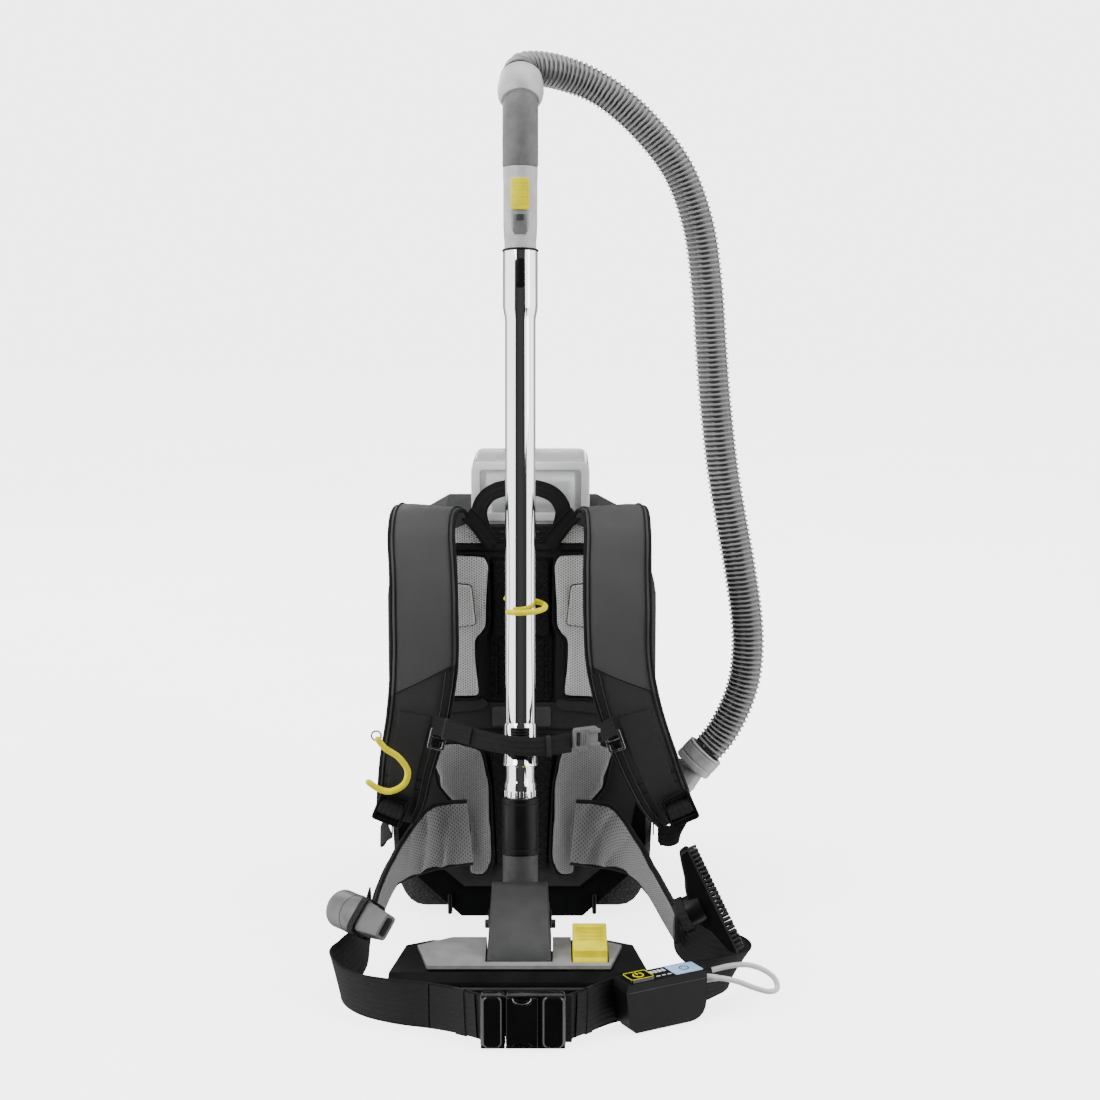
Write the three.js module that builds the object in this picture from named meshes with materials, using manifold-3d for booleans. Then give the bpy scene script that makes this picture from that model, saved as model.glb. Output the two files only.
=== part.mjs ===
// Backpack vacuum cleaner, parked on the floor with its suction wand.
// A foam pod on a carrier frame holds the motor, filter bag and battery. Its padded harness faces -Y.
// The wand stands on its floor nozzle in front of the harness, leans back against it, and a corrugated
// hose joins the wand's handle to the pod's inlet. The hip belt lies on the floor around the nozzle.
// Millimetres, +Z up, +X to the side with the hose inlet. The origin is the centre of the frame's foot.
import * as THREE from "three";
import { mergeVertices } from "three/addons/utils/BufferGeometryUtils.js";
import Module from "manifold-3d";

const wasm = await Module();
wasm.setup();

// ---------------------------------------------------------------- driving dimensions
const GAP = 0.4; // between pieces that touch

const POD = { half: 163, front: -105, back: 165, bottom: 12, top: 496 };
const FRAME = { front: -111, plate: 5.6, top: 480, footHalf: 74, footBack: 120, footTop: 11.6 };
const CHAMBER = { half: 136, front: -78, bottom: 42, top: 264 }; // dust chamber, open to the back
const MOTOR_BAY = { half: 62, front: -78, back: 126, bottom: 280, top: 380 };
const BATTERY_BAY = { left: -59, right: 80.5, front: -80, back: 22, bottom: 393 };
const INLET = { y: -20, z: 128, bore: 20 };
const LID = { half: 146, bottom: 32, top: 276, thick: 25, wall: 4 };
const LATCH = { pin: 4.2, z: 243, heel: 3.8 };
const COVER = { left: -59.5, right: 81, front: -101, back: 25, top: 559, skirt: 484, wall: 2.5 };

const PAD_FRONT = -134; // front of the back pads
const PANEL_FRONT = -117; // front of the panel that they sit on

const WAND_LEAN = 10; // degrees, back from upright
const WAND_FOOT = [0, -271.6, 48]; // the nozzle's tilt axis, where the wand's own axis starts
const TUBE = { outer: 17.5, outerBore: 16.6, inner: 16, innerBore: 14.8 };
const SLEEVE = { from: 80, to: 145, r: 20.8, bore: 17 };
const COLLAR = { from: 181, to: 230, r: 19.2 };
const TUBE_TOP = 772;
const HANDLE = { r: 19.5, bore: 14.5, bendFrom: 902, bendR: 80, bend: 45, ball: 27, rim: 24.5 };

const NOZZLE = { half: 142.5, front: -410, back: -300, top: 42 };
const WHEEL = { y: -306, z: 14.8, r: 14.5 };
const HOOD = { half: 36.5, wall: 5, front: -387, top: 102 };

const WEB = 2; // webbing thickness
const BELT_WIDTH = 50;

// ---------------------------------------------------------------- materials
const paint = (color, roughness, metalness = 0) =>
  new THREE.MeshStandardMaterial({ color, roughness, metalness });
const foam = paint(0x3a3a3c, 0.9);
const blackPlastic = paint(0x141415, 0.45);
const greyPlastic = paint(0x55565a, 0.5);
const lightGrey = paint(0xa9abad, 0.45);
const midGrey = paint(0x5f6164, 0.6);
const yellow = paint(0xe6de1c, 0.4);
const chrome = paint(0xe8e8ea, 0.06, 1);
const clear = paint(0xe9eaec, 0.2);
const mesh3d = paint(0x8f9193, 0.95);
const nylon = paint(0x2b2b2d, 0.85);
const webbing = paint(0x1b1b1c, 0.8);
const cableGrey = paint(0xc9caca, 0.5);
const hoseGrey = paint(0x9b9c9e, 0.35);
const paper = paint(0xd9d6cc, 0.95);

// ---------------------------------------------------------------- shape tools
const rad = THREE.MathUtils.degToRad;
const vec = (p) => new THREE.Vector3(...p);

function solid(geometry) {
  const bare = geometry.clone();
  bare.deleteAttribute("normal");
  bare.deleteAttribute("uv");
  const merged = mergeVertices(bare, 1e-3);
  const made = new wasm.Manifold(
    new wasm.Mesh({
      numProp: 3,
      vertProperties: merged.attributes.position.array,
      triVerts: new Uint32Array(merged.index.array),
    }),
  );
  return made;
}

function geometryOf(manifold) {
  const m = manifold.getMesh();
  const g = new THREE.BufferGeometry();
  const v = new Float32Array(m.numVert * 3);
  for (let i = 0; i < m.numVert; i++)
    v.set(m.vertProperties.subarray(i * m.numProp, i * m.numProp + 3), i * 3);
  g.setAttribute("position", new THREE.BufferAttribute(v, 3));
  g.setIndex(new THREE.BufferAttribute(new Uint32Array(m.triVerts), 1));
  return g;
}

const cut = (body, ...tools) =>
  geometryOf(tools.reduce((a, t) => a.subtract(solid(t)), solid(body)));
const join = (...bodies) => geometryOf(bodies.map(solid).reduce((a, b) => a.add(b)));
const common = (a, b) => geometryOf(solid(a).intersect(solid(b)));

// A box between two corners.
function box(x0, x1, y0, y1, z0, z1) {
  return new THREE.BoxGeometry(x1 - x0, y1 - y0, z1 - z0).translate(
    (x0 + x1) / 2,
    (y0 + y1) / 2,
    (z0 + z1) / 2,
  );
}

// A cylinder of radius r from a to b.
function rod(r, a, b, sides = 16) {
  const from = vec(a);
  const along = vec(b).sub(from);
  const turn = new THREE.Quaternion().setFromUnitVectors(
    new THREE.Vector3(0, 1, 0),
    along.clone().normalize(),
  );
  return new THREE.CylinderGeometry(r, r, along.length(), sides)
    .applyQuaternion(turn)
    .translate(...from.addScaledVector(along, 0.5).toArray());
}

// A round body about the Z axis, from a closed or axis-to-axis profile of [radius, z].
function turned(profile, sides = 24) {
  const points = profile.map(([r, z]) => new THREE.Vector2(r, z));
  return new THREE.LatheGeometry(points, sides).rotateX(Math.PI / 2);
}

// A pipe about Z: the outer profile going up, closed by a straight bore.
function pipe(outer, bore, sides = 24) {
  const last = outer[outer.length - 1][1];
  const first = outer[0][1];
  return turned([...outer, [bore, last], [bore, first], outer[0]], sides);
}

function polygon(points) {
  return new THREE.Shape(points.map(([x, y]) => new THREE.Vector2(x, y)));
}

function roundedRect(x0, x1, y0, y1, r) {
  const s = new THREE.Shape();
  s.moveTo(x0 + r, y0);
  s.lineTo(x1 - r, y0);
  s.absarc(x1 - r, y0 + r, r, -Math.PI / 2, 0);
  s.lineTo(x1, y1 - r);
  s.absarc(x1 - r, y1 - r, r, 0, Math.PI / 2);
  s.lineTo(x0 + r, y1);
  s.absarc(x0 + r, y1 - r, r, Math.PI / 2, Math.PI);
  s.lineTo(x0, y0 + r);
  s.absarc(x0 + r, y0 + r, r, Math.PI, 1.5 * Math.PI);
  return s;
}

const extruded = (shape, depth, curveSegments = 4, bevel = 0) =>
  new THREE.ExtrudeGeometry(shape, {
    depth: depth - 2 * bevel,
    curveSegments,
    bevelEnabled: bevel > 0,
    bevelThickness: bevel,
    bevelSize: bevel,
    bevelOffset: -bevel,
    bevelSegments: 2,
  }).translate(0, 0, bevel);

// An outline drawn in X and Z, from y0 (front) to y1 (back).
const frontSlab = (shape, y0, y1, segments, bevel) =>
  extruded(shape, y1 - y0, segments, bevel).rotateX(Math.PI / 2).translate(0, y1, 0);

// An outline drawn in X and Y, from z0 to z1.
const planSlab = (shape, z0, z1, segments) =>
  extruded(shape, z1 - z0, segments).translate(0, 0, z0);

// An outline drawn in Y and Z, from x0 to x1.
const sideSlab = (shape, x0, x1, segments) =>
  extruded(shape, x1 - x0, segments)
    .rotateY(Math.PI / 2)
    .rotateX(Math.PI / 2)
    .translate(x0, 0, 0);

// Skins a list of rings that have the same number of points, and closes both ends.
function loft(rings) {
  const n = rings[0].length;
  const positions = [];
  const index = [];
  rings.forEach((ring) => ring.forEach((p) => positions.push(p.x, p.y, p.z)));
  for (let i = 0; i + 1 < rings.length; i++)
    for (let j = 0; j < n; j++) {
      const k = (j + 1) % n;
      const a = i * n + j;
      const b = i * n + k;
      index.push(a, b, b + n, a, b + n, a + n);
    }
  const last = (rings.length - 1) * n;
  for (let j = 1; j + 1 < n; j++) {
    index.push(0, j + 1, j);
    index.push(last, last + j, last + j + 1);
  }
  const g = new THREE.BufferGeometry();
  g.setAttribute("position", new THREE.BufferAttribute(new Float32Array(positions), 3));
  g.setIndex(index);
  return solid(g).volume() < 0 ? flipped(g) : g;
}

function flipped(geometry) {
  const i = geometry.index.array;
  for (let k = 0; k < i.length; k += 3) [i[k + 1], i[k + 2]] = [i[k + 2], i[k + 1]];
  return geometry;
}

// Blends a list of numbers or vectors that belong to evenly spaced knots.
function blended(list, t) {
  const at = t * (list.length - 1);
  const i = Math.min(Math.floor(at), list.length - 2);
  const f = at - i;
  if (typeof list[0] === "number") return list[i] * (1 - f) + list[i + 1] * f;
  return vec(list[i]).lerp(vec(list[i + 1]), f);
}

// A flat strap along a smooth line: faces are the way it faces at each point of the line.
function band({ points, faces, wide, thick, steps }) {
  const line = new THREE.CatmullRomCurve3(points.map(vec), false, "centripetal");
  const widths = Array.isArray(wide) ? wide : [wide, wide];
  const rings = [];
  for (let i = 0; i <= steps; i++) {
    const t = i / steps;
    const at = line.getPoint(t);
    const along = line.getTangent(t);
    const across = along.clone().cross(blended(faces, t)).normalize();
    const out = across.clone().cross(along).normalize();
    const w = blended(widths, t) / 2;
    const h = thick / 2;
    const edge = Math.min(h * 0.6, w * 0.3);
    const corners = [
      [w - edge, h], [w, h - edge], [w, edge - h], [w - edge, -h],
      [edge - w, -h], [-w, edge - h], [-w, h - edge], [edge - w, h],
    ];
    rings.push(
      corners.map(([a, b]) =>
        at.clone().addScaledVector(across, a).addScaledVector(out, b),
      ),
    );
  }
  return loft(rings);
}

// A round bar or hose along a smooth line, as an extrusion of its section.
function cord(points, r, steps, sides = 8) {
  const line = new THREE.CatmullRomCurve3(points.map(vec), false, "centripetal");
  const section = polygon(
    Array.from({ length: sides }, (_, i) => {
      const a = (2 * Math.PI * i) / sides;
      return [r * Math.cos(a), r * Math.sin(a)];
    }),
  );
  return new THREE.ExtrudeGeometry(section, { steps, extrudePath: line });
}

// Rings of changing radius along a line that stays in the plane X = 0.
function bentTube(stations, sides = 20) {
  return loft(
    stations.map(({ y, z, lean, r }) =>
      Array.from({ length: sides }, (_, i) => {
        const a = (2 * Math.PI * i) / sides;
        const up = r * Math.sin(a);
        return new THREE.Vector3(
          r * Math.cos(a),
          y + up * Math.cos(rad(lean)),
          z - up * Math.sin(rad(lean)),
        );
      }),
    ),
  );
}

// A curved plate about the Z axis that faces -Y.
function arcPlate(r0, r1, halfAngle, z0, z1) {
  const s = new THREE.Shape();
  const a0 = -Math.PI / 2 - rad(halfAngle);
  const a1 = -Math.PI / 2 + rad(halfAngle);
  s.absarc(0, 0, r1, a0, a1, false);
  s.absarc(0, 0, r0, a1, a0, true);
  return planSlab(s, z0, z1, 8);
}

const root = new THREE.Group();
function add(parent, name, geometry, material) {
  const m = new THREE.Mesh(geometry, material);
  m.name = name;
  parent.add(m);
  return m;
}

// ---------------------------------------------------------------- pod
function podOutline() {
  const s = new THREE.Shape();
  const w = POD.half;
  s.moveTo(-118, POD.bottom);
  s.lineTo(118, POD.bottom);
  s.quadraticCurveTo(149, POD.bottom, w - 6, 66);
  s.lineTo(w, 190);
  s.lineTo(w, 375);
  s.quadraticCurveTo(w, 430, 136, 460);
  s.lineTo(93, POD.top);
  s.lineTo(-93, POD.top);
  s.lineTo(-136, 460);
  s.quadraticCurveTo(-w, 430, -w, 375);
  s.lineTo(-w, 190);
  s.lineTo(6 - w, 66);
  s.quadraticCurveTo(-149, POD.bottom, -118, POD.bottom);
  return s;
}

function podBody() {
  const plan = roundedRect(-POD.half, POD.half, POD.front, POD.back, 42);
  const side = polygon([
    [POD.front, POD.bottom], [135, POD.bottom], [POD.back, 34], [POD.back, 446],
    [150, 462], [62, POD.top], [POD.front, POD.top],
  ]);
  const block = common(
    common(frontSlab(podOutline(), POD.front, POD.back, 6), sideSlab(side, -POD.half, POD.half)),
    planSlab(plan, POD.bottom, POD.top, 5),
  );
  const out = POD.back + 5;
  const b = BATTERY_BAY;
  const m = MOTOR_BAY;
  return cut(
    block,
    box(-CHAMBER.half, CHAMBER.half, CHAMBER.front, out, CHAMBER.bottom, CHAMBER.top),
    box(-m.half, m.half, m.front, m.back, m.bottom, m.top),
    box(-48, 48, m.back - 1, out, 302, 368),
    box(63, 97, 155, out, 277, 300),
    box(-97, -63, 155, out, 277, 300),
    rod(35, [0, 10, CHAMBER.top - 1], [0, 10, m.bottom + 1]),
    box(b.left, b.right, b.front, b.back, b.bottom, POD.top + 5),
    box(COVER.left - 2, COVER.right + 2, POD.front - 5, b.front + 1, COVER.skirt - 4, POD.top + 5),
    rod(INLET.bore, [CHAMBER.half - 2, INLET.y, INLET.z], [POD.half + 5, INLET.y, INLET.z]),
  );
}

// The load-carrying frame: a back plate for the harness, and the foot that the pack stands on.
function carrierFrame() {
  const plate = frontSlab(
    roundedRect(-150, 150, 0, FRAME.top, 40), FRAME.front, FRAME.front + FRAME.plate, 4,
  );
  const narrow = polygon([
    [-74, 0], [74, 0], [140, 62], [150, 90], [150, 500], [-150, 500], [-150, 90], [-140, 62],
  ]);
  const foot = planSlab(
    roundedRect(-FRAME.footHalf, FRAME.footHalf, FRAME.front, FRAME.footBack, 18),
    0, FRAME.footTop, 3,
  );
  return join(
    common(plate, frontSlab(narrow, FRAME.front - 1, FRAME.front + FRAME.plate + 1)),
    foot,
  );
}

function motorUnit() {
  const z = MOTOR_BAY.bottom + GAP;
  return turned([
    [0, z], [26, z], [26, z + 8], [56, z + 10], [58, z + 16], [58, z + 34], [55, z + 40],
    [42, z + 44], [42, z + 84], [30, z + 92], [0, z + 92],
  ]).translate(0, 10, 0);
}

function filterBag() {
  const c = CHAMBER;
  const plan = roundedRect(-c.half + 8, c.half - 8, c.front + 8, 120, 34);
  const front = roundedRect(-c.half + 8, c.half - 8, c.bottom + 3, c.top - 8, 30);
  return common(
    planSlab(plan, c.bottom + 3, c.top - 8, 4), frontSlab(front, c.front + 8, 120, 4),
  );
}

function exhaustGrille() {
  const plate = roundedRect(-58, 58, 294, 376, 8);
  for (let i = 0; i < 6; i++) {
    const z = 305 + i * 11;
    plate.holes.push(polygon([[-48, z], [48, z], [48, z + 5], [-48, z + 5]]));
  }
  return frontSlab(plate, POD.back + GAP, POD.back + 5, 3);
}

function rearLid() {
  const y0 = POD.back + GAP;
  const { half, bottom, top, thick, wall } = LID;
  const shell = frontSlab(roundedRect(-half, half, bottom, top, 30), y0, y0 + thick, 3, 7);
  const tray = cut(
    shell,
    box(-half + 10, half - 10, y0 - 10, y0 + thick - wall, bottom + 12, top - 12),
  );
  const yl = y0 + thick;
  const lugs = [-80, 80].flatMap((x) => [
    box(x - 20.5, x - 15.5, yl - 2, yl + 7.5, 237, 249),
    box(x + 15.5, x + 20.5, yl - 2, yl + 7.5, 237, 249),
    rod(1.8, [x - 18, yl + LATCH.pin, LATCH.z], [x + 18, yl + LATCH.pin, LATCH.z], 12),
  ]);
  return join(tray, ...lugs);
}

// A latch lever that turns on the lid's pin, with its nose over the lid's top edge and in the pod's pocket.
function lidLatch(x) {
  const y = POD.back + GAP + LID.thick + GAP;
  const pinY = y - GAP + LATCH.pin;
  const roundPin = (r, from, count) =>
    Array.from({ length: count }, (_, i) => {
      const a = from + (Math.PI * i) / 6;
      return [pinY + r * Math.cos(a), LATCH.z + r * Math.sin(a)];
    });
  const profile = polygon([
    ...roundPin(LATCH.heel, Math.PI, 7),
    [pinY + LATCH.heel, 286], [y + 4, 290], [y - 32, 290], [y - 32, LID.top + 3], [y, LID.top + 3],
  ]);
  profile.holes.push(polygon(roundPin(2.3, 0, 12).reverse()));
  return sideSlab(profile, x - 15, x + 15);
}

function battery() {
  const b = BATTERY_BAY;
  const body = roundedRect(b.left + 5, b.right - 5, b.front + 5, b.back - 5, 8);
  return planSlab(body, b.bottom + 1, 550, 2);
}

function batteryCover() {
  const { left, right, front, back, top, wall } = COVER;
  const z0 = POD.top + GAP;
  const shape = new THREE.Shape();
  shape.moveTo(left, z0);
  shape.lineTo(right, z0);
  shape.lineTo(right, top - 12);
  shape.absarc(right - 12, top - 12, 12, 0, Math.PI / 2);
  shape.absarc(left + 12, top - 12, 12, Math.PI / 2, Math.PI);
  return cut(
    join(frontSlab(shape, front, back, 4), box(left, right, front, BATTERY_BAY.front - 1, COVER.skirt, z0 + 1)),
    box(left + wall, right - wall, front + wall, back - wall, COVER.skirt - 5, top - wall),
  );
}

// The inlet elbow comes out of the pod's side and turns up into the swivelling hose cuff.
const CUFF = { at: [220, -20, 174], axis: [0.67, 0, 0.742], r: 25, length: 28 };
function inletElbow() {
  const points = [[140, -20, 128], [168, -20, 128], [186, -20, 133], [200, -20, 147], [210, -20, 163]];
  const bend = cord(points, 18.5, 14, 16);
  const flange = rod(26, [POD.half + GAP, -20, 128], [POD.half + 5, -20, 128], 20);
  const bore = cord([[130, -20, 128], ...points.slice(1), [215, -20, 171]], 15.5, 16, 12);
  return cut(join(bend, flange), bore);
}

function inletCuff() {
  const { r, length } = CUFF;
  const turn = new THREE.Quaternion().setFromUnitVectors(
    new THREE.Vector3(0, 0, 1), vec(CUFF.axis).normalize(),
  );
  const h = length / 2;
  return pipe([[r - 1.5, 1 - h], [r, 3 - h], [r, h - 3], [r - 1.5, h]], 20)
    .applyQuaternion(turn)
    .translate(...CUFF.at);
}

const pod = new THREE.Group();
root.add(pod);
add(pod, "pod_body", podBody(), foam);
add(pod, "carrier_frame", carrierFrame(), blackPlastic);
add(pod, "motor_unit", motorUnit(), greyPlastic);
add(pod, "filter_bag", filterBag(), paper);
add(pod, "exhaust_grille", exhaustGrille(), blackPlastic);
add(pod, "rear_lid", rearLid(), greyPlastic);
add(pod, "lid_latch_left", lidLatch(-80), yellow);
add(pod, "lid_latch_right", lidLatch(80), yellow);
add(pod, "battery", battery(), blackPlastic);
add(pod, "battery_cover", batteryCover(), clear);
add(pod, "inlet_elbow", inletElbow(), lightGrey);
add(pod, "inlet_cuff", inletCuff(), lightGrey);

// ---------------------------------------------------------------- harness
const harness = new THREE.Group();
root.add(harness);

function backPanel() {
  const outline = polygon([
    [-70, 40], [70, 40], [128, 90], [146, 200], [146, 430], [120, 460], [92, FRAME.top],
    [-92, FRAME.top], [-120, 460], [-146, 430], [-146, 200], [-128, 90],
  ]);
  return frontSlab(outline, PANEL_FRONT, FRAME.front - GAP);
}
add(harness, "back_panel", backPanel(), nylon);

const UPPER_PAD = [
  [50, 275], [138, 275], [138, 420], [114, 460], [84, 479], [48, 479], [40, 462], [38, 356], [50, 345],
];
const LOWER_PAD = [
  [42, 55], [62, 55], [68, 122], [102, 168], [112, 222], [80, 226], [45, 215], [37, 170], [33, 75],
];
for (const [side, s] of [["left", -1], ["right", 1]])
  for (const [name, outline] of [["upper_pad_", UPPER_PAD], ["lower_pad_", LOWER_PAD]]) {
    const points = outline.map(([x, z]) => [s * x, z]);
    if (s < 0) points.reverse();
    add(harness, name + side, frontSlab(polygon(points), PAD_FRONT, PANEL_FRONT - GAP), mesh3d);
  }

// Shoulder straps: padded, over the top of the pack and down in front of it.
const STRAP = {
  thick: 14,
  left: {
    x: [-90, -98, -110, -113.6, -111, -110, -110.5, -117.4, -131.6, -139.5, -146],
    wide: [62, 72, 76, 76, 77, 78, 78, 73, 64, 57, 48],
  },
  right: {
    x: [90, 98, 109, 111.5, 111, 111.5, 114, 127, 149, 168, 183],
    wide: [62, 72, 76, 76, 77, 78, 76, 72, 68, 60, 48],
  },
  y: [-126.5, -137, -163, -190, -208, -217, -217, -212, -203, -196, -192],
  z: [483, 501, 509, 489, 448, 402, 341, 282, 219, 174, 150],
  faces: [
    [0, 1, 0.5], [0, 0.5, 1], [0, -0.3, 1], [0, -1, 0.5], [0, -1, 0.2], [0, -1, 0],
    [0, -1, 0], [0, -1, 0], [0, -1, -0.1], [0, -1, -0.1], [0, -1, -0.1],
  ],
};
function shoulderStrap(side) {
  const { x, wide } = STRAP[side];
  const points = x.map((v, i) => [v, STRAP.y[i], STRAP.z[i]]);
  return band({ points, faces: STRAP.faces, wide, thick: STRAP.thick, steps: 22 });
}
add(harness, "shoulder_strap_left", shoulderStrap("left"), nylon);
add(harness, "shoulder_strap_right", shoulderStrap("right"), nylon);

// The grab handle's webbing runs on down into the yoke between the shoulder straps.
function grabHandle() {
  const arch = band({
    points: [
      [-30, -119.5, 467], [-43, -119.5, 488], [-47, -119.5, 506], [-31, -119.5, 525], [0, -119.5, 531.5],
      [31, -119.5, 525], [47, -119.5, 506], [43, -119.5, 488], [30, -119.5, 467],
    ],
    faces: [[0, -1, 0], [0, -1, 0]],
    wide: 16,
    thick: 3,
    steps: 20,
  });
  const yoke = frontSlab(polygon([[-28, 462], [28, 462], [46, 486], [-46, 486]]), -121.4, -117.6);
  return join(arch, yoke);
}
add(harness, "grab_handle", grabHandle(), webbing);

// Anchor webbing from each ladder lock back to the pod's side.
const ANCHOR_LEFT = [
  [-154, -207, 142], [-162, -196, 132], [-167, -165, 118], [-167, -125, 106], [-167, -85, 98],
];
const ANCHOR_RIGHT = [[190, -206, 142], [186, -192, 132], [178, -162, 118], [170, -122, 106], [167, -85, 98]];
for (const [side, points, s] of [["left", ANCHOR_LEFT, -1], ["right", ANCHOR_RIGHT, 1]])
  add(
    harness,
    "anchor_webbing_" + side,
    band({ points, faces: [[s, -0.8, 0], [s, 0, 0], [s, 0, 0], [s, 0, 0]], wide: 25, thick: WEB, steps: 10 }),
    webbing,
  );

// Ladder lock: a frame with two slots at the end of each shoulder strap.
function ladderLock() {
  const frame = roundedRect(-18, 18, -19, 19, 4);
  for (const z of [-12, 3]) frame.holes.push(polygon([[-14, z], [14, z], [14, z + 8], [-14, z + 8]]));
  return frontSlab(frame, -3, 3, 2);
}
for (const [side, x, turn] of [["left", -151, 22], ["right", 185, -24]]) {
  const lock = add(harness, "ladder_lock_" + side, ladderLock(), blackPlastic);
  lock.position.set(x, -209, 166);
  lock.rotation.y = rad(turn);
}

// Sternum strap across the front of the wand.
const sternumFaces = [[0, -1, 0], [0, -1, 0]];
add(
  harness,
  "sternum_strap_left",
  band({
    points: [
      [-100, -226, 271], [-75, -238, 266], [-35, -256, 259], [0, -265, 256], [30, -265, 256], [58, -258, 258],
    ],
    faces: sternumFaces, wide: 22, thick: WEB, steps: 12,
  }),
  webbing,
);
add(
  harness,
  "sternum_strap_right",
  band({
    points: [[90, -243, 265], [98, -236, 267], [108, -225, 270]],
    faces: sternumFaces, wide: 22, thick: WEB, steps: 4,
  }),
  webbing,
);
function sternumBuckle() {
  const body = roundedRect(-15, 15, -13, 13, 4);
  body.holes.push(polygon([[-12, -8], [-8, -8], [-8, 8], [-12, 8]]));
  return frontSlab(body, -4, 4, 2);
}
const chestBuckle = add(harness, "sternum_buckle", sternumBuckle(), blackPlastic);
chestBuckle.position.set(74, -252, 262);
chestBuckle.rotation.z = rad(26);

// Hip wings: padded fins from the lumbar area round the wearer, drooping to the floor.
const WING = {
  left: [
    [-62, -142, 116], [-98, -147, 112.5], [-128, -180, 103], [-147, -225, 95], [-160, -270, 75],
    [-165, -305, 60],
  ],
  right: [
    [62, -142, 116], [98, -147, 112.5], [130, -180, 100], [151, -225, 84], [164, -285, 76], [176, -335, 67],
  ],
  height: { left: [80, 83, 60, 36, 38, 42], right: [80, 83, 50, 38, 38, 38] },
  faces: [[0, -1, 0], [0.3, -1, 0], [0.8, -0.6, 0], [1, -0.2, 0], [1, -0.1, 0], [1, 0, 0]],
};
for (const [side, s] of [["left", 1], ["right", -1]]) {
  const faces = WING.faces.map(([x, y, z]) => [s * x, y, z]);
  add(
    harness,
    "hip_wing_" + side,
    band({ points: WING[side], faces, wide: WING.height[side], thick: 11, steps: 15 }),
    mesh3d,
  );
}

// Hip belt webbing, on edge, from each wing's outer face round to the buckle.
const BELT_LEFT = [
  [-171, -268, 70], [-173.6, -305, 56], [-177, -338, 45], [-190, -364, 38], [-199, -392, 35], [-190, -419, 32],
  [-168, -440, 29.5], [-135, -455, 28.5], [-92, -468, 28.5], [-60, -484, 29], [-36, -503, 30],
];
const BELT_RIGHT = [
  [177, -295, 68], [189, -325, 52], [212, -343, 43], [234, -350, 39], [243, -360, 36], [236, -376, 33],
  [212, -392, 30], [186.5, -406, 28.5], [142.6, -430, 28.5], [100, -454, 28.5], [76, -478, 29], [54, -502, 30],
];
const beltFaces = (s) => [[s, 0, 0], [s, -0.4, -0.4], [s, -1, -0.3], [0, -1, 0], [0, -1, 0]];
add(
  harness,
  "belt_webbing_left",
  band({ points: BELT_LEFT, faces: beltFaces(-1), wide: BELT_WIDTH, thick: WEB, steps: 26 }),
  webbing,
);
add(
  harness,
  "belt_webbing_right",
  band({
    points: BELT_RIGHT,
    faces: [
      [1, 0, 0], [0.5, 1, -0.3], [0.3, 1, -0.5], [1, 0.3, -0.5], [0.8, -0.8, -0.3],
      [0.5, -1, 0], [0.5, -1, 0], [0.5, -1, 0], [0.3, -1, 0],
    ],
    wide: BELT_WIDTH, thick: WEB, steps: 34,
  }),
  webbing,
);

// Side-release buckle of the hip belt, standing on its long edge.
const BUCKLE = { y0: -519, y1: -503, z0: 0.3, z1: 59.7 };
function buckleFemale() {
  const { y0, y1, z0, z1 } = BUCKLE;
  const body = frontSlab(roundedRect(-12, 50.5, z0, z1, 6), y0, y1, 3);
  return cut(
    body,
    box(-20, 22, y0 + 4, y1 - 4, 12, 48),
    box(30, 36, y0 - 5, y1 + 5, 6, 54),
    box(41, 60, y1 - 5, y1 + 5, 3, 57),
  );
}
function buckleMale() {
  const { y0, y1, z0, z1 } = BUCKLE;
  const frame = frontSlab(roundedRect(-38.5, -12.4, z0, z1, 6), y0, y1, 3);
  const tongue = box(-14, 20, y0 + 4.4, y1 - 4.4, 13, 47);
  return cut(
    join(frame, tongue),
    box(-24, -18, y0 - 5, y1 + 5, 6, 54),
    box(-50, -29, y1 - 5, y1 + 5, 3, 57),
    box(-8, 14, y0, y1, 22, 38),
  );
}
add(harness, "belt_buckle_female", buckleFemale(), blackPlastic);
add(harness, "belt_buckle_male", buckleMale(), blackPlastic);

// Control unit on the belt, with its power button and its lead.
const UNIT = { length: 100, deep: 30, height: 55, at: [151, -446, 1], turn: 28.7 };
const unit = new THREE.Group();
unit.position.set(...UNIT.at);
unit.rotation.z = rad(UNIT.turn);
harness.add(unit);
function controlUnit() {
  const h = UNIT.length / 2;
  const front = new THREE.Shape();
  front.moveTo(-h + 12, 0);
  front.lineTo(h - 20, 0);
  front.quadraticCurveTo(h - 1, 1, h, 20);
  front.lineTo(h, UNIT.height - 4);
  front.lineTo(h - 4, UNIT.height);
  front.lineTo(-h + 2, UNIT.height);
  front.lineTo(-h, UNIT.height - 8);
  front.lineTo(-h + 4, 10);
  const well = box(-43.5, -13.5, -14, 9, UNIT.height - 4, UNIT.height + 5);
  return cut(frontSlab(front, -UNIT.deep / 2, UNIT.deep / 2, 5), well);
}
add(unit, "control_unit", controlUnit(), blackPlastic);
add(
  unit,
  "power_button",
  planSlab(roundedRect(-43, -14, -13.5, 8.5, 2), UNIT.height - 2, UNIT.height + 4, 2),
  blackPlastic,
);

const CABLE = [
  [200, -421.5, 41], [216, -424, 42], [235, -426, 39], [255, -425, 31], [271, -421, 25.5], [279.5, -414, 26],
  [278, -407, 34], [266, -403, 43], [249, -401, 48], [232, -400, 47], [219, -399.5, 44], [210, -400.5, 42],
];
add(harness, "control_cable", cord(CABLE, 3, 26, 8), cableGrey);

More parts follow.
